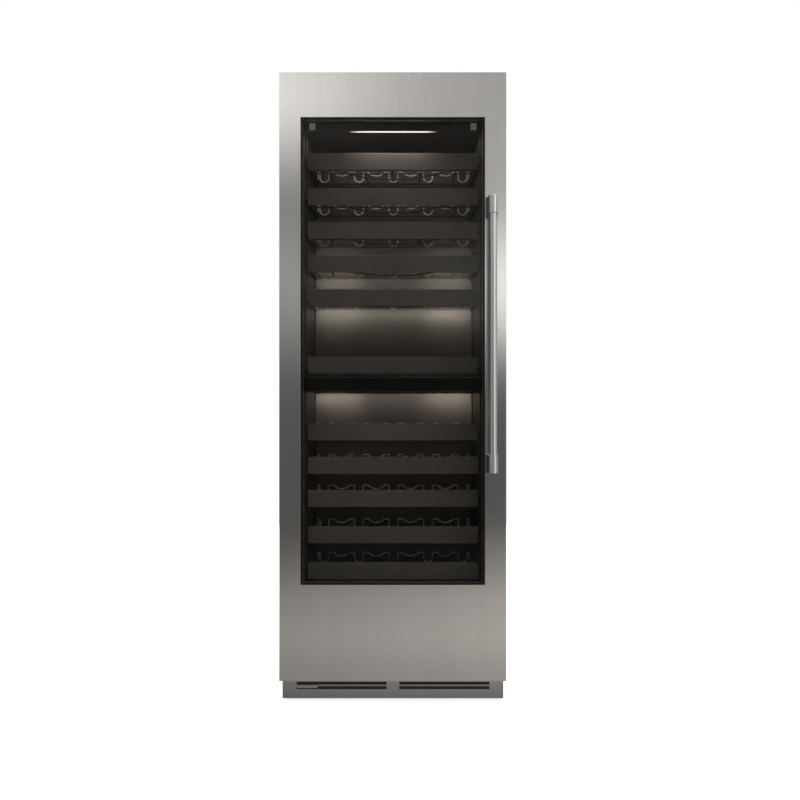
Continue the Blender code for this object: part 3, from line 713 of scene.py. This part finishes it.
def gasket():
    """The magnetic seal: a flat foot, a bellows waist and a rounded magnet pocket."""
    low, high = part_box("door_gasket")
    window = (low.x, high.x, low.z, high.z)
    depth = high.y - low.y
    shares = (
        (0.00, 0.00), (0.00, 0.14), (0.14, 0.20), (0.20, 0.30), (0.14, 0.40), (0.22, 0.50),
        (0.10, 0.58), (0.02, 0.70), (0.02, 0.86), (0.10, 0.97), (0.24, 1.00),
        (0.76, 1.00), (0.90, 0.97), (0.98, 0.86), (0.98, 0.70), (0.90, 0.58),
        (0.78, 0.50), (0.86, 0.40), (0.80, 0.30), (0.86, 0.20), (1.00, 0.14), (1.00, 0.00),
    )
    profile = [(GASKET_WIDTH * across, low.y + depth * back) for across, back in shares]
    ring = frame_ring(window, profile)
    seal = as_piece("door_seal", ring, FINISHES["seal_rubber"], "door")
    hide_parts("door_gasket")


def handle_posts():
    """Behind each round handle end: a broad post as tall as the end, which flares toward the door."""
    door_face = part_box("door_panel")[0].y
    for end in ("lower", "upper"):
        low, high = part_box(f"handle_end_{end}")
        radius = (high.x - low.x) / 2
        x = (low.x + high.x) / 2
        z = (low.z + high.z) / 2
        tall = (high.z - low.z) / 2 - 0.0016
        y = (low.y + radius + 0.0045, door_face - 0.0002)
        mesh = block((x - POST_HALF, x + POST_HALF), y, (z - tall, z + tall), 0.0008)
        for v in mesh.vertices:
            depth = (v.co.y - y[0]) / (y[1] - y[0])
            v.co.x = x + (v.co.x - x) * (1.0 + POST_WIDENS * depth)
            v.co.z = z + (v.co.z - z) * (1.0 + POST_HEIGHTENS * depth)
        as_piece(f"handle_post_{end}", mesh, POST_METAL_PAINTED_SHADE, "door", smooth=False)


# ---------------------------------------------------------------------------------------------
# Racks
# ---------------------------------------------------------------------------------------------
def base_seat(middle, y, crest):
    """A wide shallow arc for a bottle's base."""
    turn = math.asin(SEAT_HALF / SEAT_RADIUS)
    bottom = crest + SEAT_RADIUS * (math.cos(turn) - 1)
    path = []
    for step in range(11):
        a = -turn + 2 * turn * step / 10
        rise = SEAT_RADIUS * (1 - math.cos(a))
        path.append(Vector((middle + SEAT_RADIUS * math.sin(a), y, bottom + rise)))
    return path


def neck_seat(middle, y, crest, leg):
    """A narrow deep loop for a bottle's neck."""
    elbow = crest - leg
    path = [Vector((middle - NECK_RADIUS, y, crest))]
    for step in range(13):
        a = math.pi * (step / 12 - 1)
        across = NECK_RADIUS * math.cos(a)
        path.append(Vector((middle + across, y, elbow + NECK_RADIUS * math.sin(a))))
    path.append(Vector((middle + NECK_RADIUS, y, crest)))
    return path


def seat_path(y, crest, half, first_neck, leg):
    """A wire across the rack that dips under each bottle, with seats for necks and bases in turn."""
    path = [Vector((-half, y, crest))]
    for seat in range(SEAT_COUNT):
        middle = (seat - (SEAT_COUNT - 1) / 2) * SEAT_PITCH
        if seat % 2 == first_neck:
            path.extend(neck_seat(middle, y, crest, leg))
        else:
            path.extend(base_seat(middle, y, crest))
    path.append(Vector((half, y, crest)))
    return path


def bow_path(y_end, y_middle, z):
    """A cross wire bowed back in plan, level in height."""
    steps = 28
    path = []
    for i in range(steps + 1):
        t = -1 + 2 * i / steps
        y = y_middle + (y_end - y_middle) * abs(t) ** 2.4
        path.append(Vector((BOW_HALF * t, y, z)))
    return path


def slide_channel(side, x_in, x_out, y, z):
    """One folded slide member between pairs of y and z, open on the side of x_out."""
    z0, z1 = z
    outline = (
        (x_out, z0), (x_in, z0), (x_in, z1), (x_out, z1),
        (x_out, z1 - SHEET), (x_in + SHEET, z1 - SHEET), (x_in + SHEET, z0 + SHEET), (x_out, z0 + SHEET),
    )
    bm = bmesh.new()
    ends = []
    for place in y:
        ends.append([bm.verts.new((side * x, place, z)) for x, z in outline])
    return closed_between(bm, ends, "channel")


def seat_wires(inner, level, crest):
    """The two bright cross wires of one rack, and the posts at their ends."""
    front = seat_path(FRONT_SEATS_Y, crest, inner, 1, FRONT_NECK_LEG)
    rear = seat_path(REAR_SEATS_Y, crest, inner, 0, REAR_NECK_LEG)
    posts = []
    for y in (FRONT_SEATS_Y, REAR_SEATS_Y):
        for x in (-inner + 0.002, inner - 0.002):
            posts.append([Vector((x, y, level)), Vector((x, y, crest))])
    return joined([tubes([front, rear], SEAT_WIRE), tubes(posts, SEAT_WIRE, 2)])


def frame_wires(inner, level, y_front, y_rear):
    """The rim of one rack, with its cross wires, its stays and its bow, which are drawn dark as painted
    shade.
    """
    corners = ((-inner, y_front), (-inner, y_rear), (inner, y_rear), (inner, y_front))
    rim = [(x, y, level) for x, y in corners]
    straight = []
    for y in (0.0, y_front):
        straight.append([Vector((-inner, y, level)), Vector((inner, y, level))])
    above = level + 2 * FRAME_WIRE
    for x in STAY_PLACES:
        straight.append([Vector((x, y_front, above)), Vector((x, y_rear, above))])
    bow = bow_path(y_front + 0.006, BOW_MIDDLE_Y, level - 0.001)
    return joined([
        tubes([rounded(rim, RIM_CORNER)], RIM_WIRE),
        tubes(straight, FRAME_WIRE, 2),
        tubes([bow], BOW_WIRE),
    ])


def rack_wires(number):
    """The bright wires, the frame drawn dark as painted shade and the two slides of one rack."""
    label = f"{number:02d}"
    body = f"rack_{label}"
    low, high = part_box(f"rack_cradle_{label}")
    inner = high.x - SLIDE_WIDTH
    level = low.z + RIM_WIRE
    bright = seat_wires(inner, level, high.z - SEAT_WIRE)
    wires = as_piece(f"rack_wires_{label}", bright, FINISHES["rack_wire"], body)
    dark = frame_wires(inner, level, low.y + FRAME_WIRE, high.y - RIM_WIRE)
    as_piece(f"rack_frame_{label}", dark, FRAME_WIRE_PAINTED_SHADE, body)
    channels = []
    for side in (-1, 1):
        channels.append(slide_channel(side, inner, high.x, (low.y, high.y), (low.z, low.z + SLIDE_HEIGHT)))
    as_piece(f"rack_slides_{label}", joined(channels), ZINC, body, smooth=False)
    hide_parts(f"rack_cradle_{label}")


# ---------------------------------------------------------------------------------------------
# Cabinet details
# ---------------------------------------------------------------------------------------------
def panel_line():
    """The thin bright line near the control panel's top edge."""
    low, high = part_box("control_panel")
    x = (low.x + 0.001, high.x - 0.001)
    y = (low.y - 0.0006, low.y - 0.0001)
    z = high.z - PANEL_LINE_DROP
    mesh = block(x, y, (z, z + PANEL_LINE_TALL), 0.0001, 1)
    as_piece("control_panel_line", mesh, ZINC, "cabinet", smooth=False)


def light_channel(low, high, bottom):
    """The dark folded channel of a light bar, with a plug at each end."""
    top = high.z
    inner_front = low.y + SHEET
    inner_back = high.y - SHEET
    outline = (
        (low.y, top), (high.y, top), (high.y, bottom), (inner_back, bottom),
        (inner_back, top - SHEET), (inner_front, top - SHEET), (inner_front, bottom), (low.y, bottom),
    )
    plugs = []
    for side in (-1, 1):
        x = sorted((side * (high.x - PLUG), side * high.x))
        plugs.append(block(x, (low.y, high.y), (bottom, top), 0.0004))
    return joined([extruded(outline, (-high.x, high.x)), *plugs])


def light_lens(low, high, bottom, bulge):
    """The frosted lens in a light bar's underside, curved down by bulge."""
    front = low.y + SHEET + 0.0002
    back = high.y - SHEET - 0.0002
    rim = bottom + 0.0004
    outline = [(back, rim + 0.002), (front, rim + 0.002)]
    for step in range(9):
        turn = math.pi * step / 8
        y = (front + back) / 2 - (back - front) / 2 * math.cos(turn)
        outline.append((y, rim - bulge * math.sin(turn)))
    half = high.x - PLUG - 0.0002
    return extruded(outline, (-half, half))


def light_bars():
    """Under each ceiling: a dark channel with a slim frosted lens set in its underside."""
    for zone in ("upper", "lower"):
        low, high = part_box(f"led_bar_{zone}")
        bottom = high.z - LIGHT_BAR_TALL
        channel = light_channel(low, high, bottom)
        dark = FINISHES["rail_metal"]
        as_piece(f"light_channel_{zone}", channel, dark, "cabinet", smooth=False)
        lens = light_lens(low, high, bottom, LENS_BULGE[zone])
        lit = FINISHES["led_light"]
        shown = as_piece(f"light_lens_{zone}", lens, lit, "cabinet", smooth=False)
        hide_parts(f"led_bar_{zone}")


def corner_caps():
    """Small pale caps at both ends of the cabinet's top front rim, with a faint painted glow though they
    are no lamp.
    """
    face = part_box("control_panel")[0].y
    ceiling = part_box("led_bar_upper")[1].z
    for side, word in ((-1, "left"), (1, "right")):
        x = sorted((side * CAP_NEAR_X, side * CAP_FAR_X))
        y = (face - 0.010, face - 0.0005)
        mesh = block(x, y, (ceiling - CAP_BELOW_CEILING, ceiling + CAP_ABOVE_CEILING), 0.0018, 3)
        as_piece(f"rim_cap_{word}", mesh, CAP_PAINTED_GLOW, "cabinet")


def duct_lips():
    """The folded top edge of each duct panel, just clear of the ceiling."""
    for zone in ("upper", "lower"):
        low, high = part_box(f"duct_panel_{zone}")
        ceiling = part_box(f"led_bar_{zone}")[1].z
        x = (low.x + 0.002, high.x - 0.002)
        y = (low.y - 0.0011, low.y - 0.0001)
        mesh = block(x, y, (high.z - 0.006, ceiling - 0.0025), 0.0003)
        as_piece(f"duct_lip_{zone}", mesh, FINISHES["duct_paint"], "cabinet", smooth=False)


def pleated_mat(y_front, y_back):
    """A zigzag mat across the filter, its folds touching both depths in turn."""
    half = FILTER_HALF - 0.003
    bm = bmesh.new()
    rows = []
    for z in (FILTER_LOW_Z, FILTER_HIGH_Z):
        row = []
        for i in range(PLEAT_COUNT + 1):
            row.append(bm.verts.new((-half + 2 * half * i / PLEAT_COUNT, y_front if i % 2 else y_back, z)))
        rows.append(row)
    bottom, top = rows
    for i in range(PLEAT_COUNT):
        bm.faces.new((bottom[i], bottom[i + 1], top[i + 1], top[i]))
    mesh = bpy.data.meshes.new("mat")
    bm.to_mesh(mesh)
    bm.free()
    return mesh


def grille_filter():
    """The dark air filter clipped behind the toe grille: a slim rim with a pleated mat in it."""
    y0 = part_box("toe_grille")[0].y + 0.0035
    y1 = y0 + 0.0018
    mat = pleated_mat(y0 + 0.0003, y0 + 0.0012)
    edges = (-FILTER_HALF, FILTER_HALF, FILTER_LOW_Z - 0.002, FILTER_HIGH_Z + 0.002)
    rim = frame_ring(edges, ((0.0, y0), (FILTER_RIM, y0), (FILTER_RIM, y1), (0.0, y1)))
    dark = FINISHES["fan_plastic"]
    as_piece("toe_grille_filter", joined([mat, rim]), dark, "cabinet", smooth=False)


def grille_tab():
    """The release tab in the toe grille's left slots."""
    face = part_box("toe_grille")[0].y
    mesh = block(TAB_X, (face - 0.0014, face - 0.0002), TAB_Z, 0.0005, 2)
    as_piece("toe_grille_tab", mesh, FINISHES["stainless"], "cabinet", smooth=False)


def hex_screw(place, axis, size=1.0):
    """A hexagon-head screw with its washer face at place, pointing out along axis.

    Washer and head are each a number of sides and the (radius, height) of each ring.
    """
    washer = (24, ((0.0062, 0.0), (0.0062, 0.0009), (0.0058, 0.0013)))
    head = (6, ((0.0036, 0.0013), (0.0036, 0.0036), (0.0029, 0.0042)))
    turn = Vector((0.0, 0.0, 1.0)).rotation_difference(Vector(axis)).to_matrix()
    bm = bmesh.new()
    for sides, rings in (washer, head):
        loops = []
        for radius, height in rings:
            loop = []
            for i in range(sides):
                a = 2 * math.pi * i / sides
                spot = Vector((radius * math.cos(a), radius * math.sin(a), height)) * size
                loop.append(bm.verts.new(turn @ spot + Vector(place)))
            loops.append(loop)
        for loop, following in zip(loops, loops[1:]):
            for i in range(sides):
                j = (i + 1) % sides
                bm.faces.new((loop[i], loop[j], following[j], following[i]))
        bm.faces.new(loops[-1])
    mesh = bpy.data.meshes.new("screw")
    bm.to_mesh(mesh)
    bm.free()
    return mesh


def back_screws():
    """Screws all round the back panel's edge."""
    low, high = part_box("back_panel")
    y = high.y + 0.0001
    x = high.x - SCREW_FROM_SIDE
    bottom = low.z + SCREW_FROM_END
    top = high.z - SCREW_FROM_END
    spots = []
    for i in range(SCREWS_PER_SIDE):
        z = bottom + (top - bottom) * i / (SCREWS_PER_SIDE - 1)
        spots.append((-x, z))
        spots.append((x, z))
    for i in range(1, SCREWS_PER_END + 1):
        across = -x + 2 * x * i / (SCREWS_PER_END + 1)
        spots.append((across, bottom))
        spots.append((across, top))
    heads = [hex_screw((a, y, b), (0.0, 1.0, 0.0)) for a, b in spots]
    as_piece("back_panel_screws", joined(heads), ZINC, "cabinet", smooth=False)


def bracket_screws():
    """Two screws through each hinge bracket's upright plate, seen with the door open."""
    for word in ("upper", "lower"):
        low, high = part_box(f"hinge_bracket_{word}")
        x = (low.x + high.x) / 2
        y = high.y - BRACKET_PLATE - 0.0001
        middle = (low.z + high.z) / 2
        heads = [hex_screw((x, y, middle + step), (0.0, -1.0, 0.0), 0.7) for step in (-0.008, 0.008)]
        name = f"hinge_bracket_{word}_screws"
        as_piece(name, joined(heads), ZINC, "cabinet", smooth=False)


# ---------------------------------------------------------------------------------------------
# Studio
# ---------------------------------------------------------------------------------------------
def camera():
    """Level and square to the door, a little below the control panel."""
    data = bpy.data.cameras.new("camera")
    data.lens = CAMERA_LENS
    data.sensor_width = CAMERA_SENSOR
    data.clip_start = 0.05
    data.clip_end = 60.0
    obj = bpy.data.objects.new("camera", data)
    bpy.context.scene.collection.objects.link(obj)
    obj.location = CAMERA_PLACE
    obj.rotation_euler = (math.radians(90), 0.0, 0.0)
    bpy.context.scene.camera = obj


class Graph:
    """Small helper for the world's and the floor's nodes."""

    def __init__(self, tree):
        self.tree = tree

    def add(self, kind, **settings):
        node = self.tree.nodes.new(kind)
        for key, value in settings.items():
            setattr(node, key, value)
        return node

    def link(self, source, node, socket):
        if isinstance(source, (int, float)):
            node.inputs[socket].default_value = source
        else:
            self.tree.links.new(source, node.inputs[socket])

    def math(self, operation, first, second=0.0):
        node = self.add("ShaderNodeMath", operation=operation)
        self.link(first, node, 0)
        self.link(second, node, 1)
        return node.outputs[0]

    def distance(self, x, y):
        squares = self.math("ADD", self.math("MULTIPLY", x, x), self.math("MULTIPLY", y, y))
        return self.math("SQRT", squares)

    def smooth(self, value, start, end, low, high):
        node = self.add("ShaderNodeMapRange", interpolation_type="SMOOTHSTEP")
        self.link(value, node, "Value")
        self.link(start, node, "From Min")
        self.link(end, node, "From Max")
        self.link(low, node, "To Min")
        self.link(high, node, "To Max")
        return node.outputs["Result"]

    def blend(self, share, first, second):
        node = self.add("ShaderNodeMix", data_type="FLOAT")
        self.link(share, node, 0)
        self.link(first, node, 2)
        self.link(second, node, 3)
        return node.outputs[0]

    def steps(self, value, stops):
        """A smooth curve through (place, level) stops, places from 0 to 1."""
        node = self.add("ShaderNodeValToRGB")
        self.link(value, node, "Fac")
        ramp = node.color_ramp
        ramp.interpolation = "EASE"
        while len(ramp.elements) < len(stops):
            ramp.elements.new(0.5)
        for element, (place, level) in zip(ramp.elements, stops):
            element.position = place
            element.color = (level, level, level, 1.0)
        return node.outputs["Color"]

    def pool(self, across, up, centre, half, level):
        """A soft oval of light about a centre, level at its middle and nothing at its rim."""
        dx = self.math("DIVIDE", self.math("SUBTRACT", across, centre[0]), half[0])
        dy = self.math("DIVIDE", self.math("SUBTRACT", up, centre[1]), half[1])
        return self.smooth(self.distance(dx, dy), 0.0, 1.0, level, 0.0)

    def grey(self, level):
        """A colour with one level in all three channels."""
        node = self.add("ShaderNodeCombineColor")
        for channel in range(3):
            self.link(level, node, channel)
        return node.outputs[0]

    def background(self, strength):
        node = self.add("ShaderNodeBackground")
        node.inputs["Color"].default_value = (1.0, 1.0, 1.0, 1.0)
        self.link(strength, node, "Strength")
        return node.outputs[0]

    def by_camera(self, unseen, seen):
        """One shader for rays from the camera and another for all other rays."""
        node = self.add("ShaderNodeMixShader")
        self.link(self.add("ShaderNodeLightPath").outputs["Is Camera Ray"], node, 0)
        self.link(unseen, node, 1)
        self.link(seen, node, 2)
        return node.outputs[0]


def wall_ahead(g, across, up):
    """What the door mirrors straight ahead: a wall, dark low down and paler higher up, with soft lamps."""
    wall = g.math("ADD", g.smooth(up, 0.0, 0.12, 0.12, 0.30), g.smooth(up, 0.20, 0.29, 0.0, 0.27))
    light = g.math("ADD", wall, g.smooth(up, 0.13, 0.20, 0.0, -0.07))
    lamps = (
        ((-0.17, 0.305), (0.22, 0.115), 1.20),
        ((0.150, 0.112), (0.17, 0.100), 2.00),
        ((0.150, 0.210), (0.22, 0.090), 0.42),
        ((-0.150, 0.115), (0.14, 0.105), 0.25),
    )
    for centre, half, level in lamps:
        light = g.math("ADD", light, g.pool(across, up, centre, half, level))
    return light


def room_around(g, turn, z):
    """Everything else it mirrors: a bright ceiling, mid-grey sides and a tall soft lamp to the right."""
    height = g.smooth(z, -0.4, 0.9, 0.30, 1.05)
    strip = g.pool(turn, z, (0.80, 0.15), (0.42, 1.3), 1.5)
    shade = g.smooth(turn, -0.3, -1.5, 0.0, 0.08)
    return g.math("SUBTRACT", g.math("ADD", height, strip), shade)


def studio_world():
    """White behind the object for the camera; a soft studio in what it mirrors and is lit by."""
    world = bpy.data.worlds.new("studio")
    world.use_nodes = True
    bpy.context.scene.world = world
    world.node_tree.nodes.clear()
    g = Graph(world.node_tree)
    apart = g.add("ShaderNodeSeparateXYZ")
    g.link(g.add("ShaderNodeTexCoord").outputs["Generated"], apart, "Vector")
    x, y, z = apart.outputs
    ahead = g.math("MULTIPLY", y, -1.0)
    reach = g.math("MAXIMUM", ahead, 0.2)
    front = wall_ahead(g, g.math("DIVIDE", x, reach), g.math("DIVIDE", z, reach))
    around = room_around(g, g.math("ARCTAN2", x, ahead), z)
    light = g.blend(g.smooth(ahead, 0.80, 0.93, 0.0, 1.0), around, front)
    studio = g.background(light)
    backdrop = g.background(1.0)
    g.link(g.by_camera(studio, backdrop), g.add("ShaderNodeOutputWorld"), "Surface")


def mirrored_floor(g, x, y):
    """What the object mirrors of the floor: painted light that fades with distance, dimmed close to the
    object as painted shade, brighter to the right and warmer away from the door.
    """
    ahead = g.math("MAXIMUM", g.math("MULTIPLY", y, -1.0), 0.0)
    pool = g.steps(g.math("DIVIDE", ahead, FLOOR_RADIUS), FLOOR_GLOW)
    sideways = g.math("MINIMUM", g.math("MAXIMUM", x, -1.0), 1.0)
    side = g.math("ADD", 1.0, g.math("MULTIPLY", sideways, 0.35))
    tint = g.add("ShaderNodeCombineColor")
    g.link(1.0, tint, 0)
    g.link(g.smooth(ahead, 0.05, 0.5, 1.0, 0.965), tint, 1)
    g.link(g.smooth(ahead, 0.05, 0.5, 1.03, 0.925), tint, 2)
    shader = g.add("ShaderNodeEmission")
    g.link(tint.outputs[0], shader, "Color")
    g.link(g.math("MULTIPLY", pool, side), shader, "Strength")
    return shader.outputs[0]


def seen_floor(g, x, y):
    """The floor itself: nearly white, with painted shade that greys it near the object and makes it dark
    right under it.
    """
    # Painted shade under the object: its glow goes out and its colour is nearly black within the
    # footprint.
    under_front = g.smooth(y, 0.03, 0.06, 0.0, 1.0)
    under_back = g.smooth(y, 0.51, 0.57, 1.0, 0.0)
    under_sides = g.smooth(g.math("ABSOLUTE", x), 0.365, 0.385, 1.0, 0.0)
    painted_shade_under = g.math("MULTIPLY", g.math("MULTIPLY", under_front, under_back), under_sides)
    clear = g.math("SUBTRACT", 1.0, painted_shade_under)
    glow = g.add("ShaderNodeEmission")
    # Painted shade: the glow dims towards the object.
    around = g.smooth(g.distance(x, y), 0.6, 2.6, 0.74, 1.0)
    g.link(g.math("MULTIPLY", around, clear), glow, "Strength")
    matt = g.add("ShaderNodeBsdfDiffuse")
    g.link(g.grey(g.math("ADD", 0.04, g.math("MULTIPLY", 0.81, clear))), matt, "Color")
    both = g.add("ShaderNodeAddShader")
    g.link(matt.outputs[0], both, 0)
    g.link(glow.outputs[0], both, 1)
    return both.outputs[0]


def floor_finish():
    material = bpy.data.materials.new("floor")
    material.use_nodes = True
    material.node_tree.nodes.clear()
    g = Graph(material.node_tree)
    apart = g.add("ShaderNodeSeparateXYZ")
    g.link(g.add("ShaderNodeTexCoord").outputs["Object"], apart, "Vector")
    x, y = apart.outputs[0], apart.outputs[1]
    shader = g.by_camera(mirrored_floor(g, x, y), seen_floor(g, x, y))
    g.link(shader, g.add("ShaderNodeOutputMaterial"), "Surface")
    return material


def floor():
    """A pale round studio floor."""
    bm = bmesh.new()
    bmesh.ops.create_circle(bm, cap_ends=True, segments=96, radius=FLOOR_RADIUS)
    mesh = bpy.data.meshes.new("floor")
    bm.to_mesh(mesh)
    bm.free()
    mesh.materials.append(floor_finish())
    obj = bpy.data.objects.new("floor", mesh)
    bpy.context.scene.collection.objects.link(obj)
    obj.location = (0.0, -0.2, -0.0005)


def area_light(name, place, aim, size, power, colour=(1.0, 1.0, 1.0), spread=180.0):
    """A soft rectangular light at place, facing the point aim, its beam spread degrees wide."""
    data = bpy.data.lights.new(name, "AREA")
    data.shape = "RECTANGLE"
    data.size, data.size_y = size
    data.energy = power
    data.color = colour
    data.spread = math.radians(spread)
    obj = bpy.data.objects.new(name, data)
    bpy.context.scene.collection.objects.link(obj)
    obj.location = place
    obj.rotation_euler = (Vector(aim) - Vector(place)).to_track_quat("-Z", "Y").to_euler()
    obj.visible_camera = False
    obj.visible_transmission = False
    return obj


def wall_wash(name, z, ends, middle):
    """Light on the rear wall at one height: a lamp near each end and a long one between them."""
    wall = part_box("duct_panel_upper")[0].y
    for side, word in ((-1, "left"), (1, "right")):
        x = side * WASH_X
        place = (x, wall - WASH_END_GAP, z)
        area_light(f"{name}_{word}", place, (x, wall, z - 0.01), (0.17, 0.02), ends, WARM_LIGHT, 170.0)
    place = (0.0, wall - WASH_MIDDLE_GAP, z)
    area_light(f"{name}_middle", place, (0.0, wall, z - 0.01), (0.56, 0.02), middle, WARM_LIGHT, 160.0)


def zone_lights():
    """Under each ceiling: the light bar's own light, and a broader one that picks out the wires."""
    for zone, bar_power, glint_power in (("upper", 0.55, 0.75), ("lower", 0.12, 0.14)):
        low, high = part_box(f"led_bar_{zone}")
        y = (low.y + high.y) / 2
        place = (0.0, y, low.z - 0.002)
        below = (0.0, y + 0.05, low.z - 1.002)
        area_light(f"led_{zone}", place, below, (0.24, 0.008), bar_power, WARM_LIGHT)
        place = (0.0, -0.02, high.z - 0.004)
        below = (0.0, -0.02, high.z - 1.004)
        area_light(f"rack_glint_{zone}", place, below, (0.50, 0.10), glint_power, WARM_LIGHT)


def lights():
    """The studio's lamp, the cabinet's own light, and four washes in the gaps between the racks."""
    area_light("overhead", (0.4, -1.0, 3.6), (0.0, 0.0, 0.6), (2.2, 2.2), 34.0)
    zone_lights()
    wall_wash("wash_top", 1.586, 0.04, 0.05)
    wall_wash("wash_high", 1.488, 0.09, 0.14)
    wall_wash("wash_middle", 1.366, 0.13, 0.34)
    wall_wash("wash_low", 1.042, 0.17, 0.20)


# ---------------------------------------------------------------------------------------------
# Put together
# ---------------------------------------------------------------------------------------------
camera()
finish_cad_nodes()
glass_panes()
glass_border()
glass_spacer()
gasket()
for rack_number in range(1, RACK_COUNT + 1):
    rack_wires(rack_number)
    soften(f"rack_front_{rack_number:02d}", STRIP_EDGE, 3)
for node_name, width in SOFT_EDGES:
    soften(node_name, width)
panel_line()
light_bars()
corner_caps()
handle_posts()
grille_tab()
grille_filter()
duct_lips()
back_screws()
bracket_screws()
studio_world()
floor()
lights()
bpy.context.scene.view_settings.view_transform = "Standard"
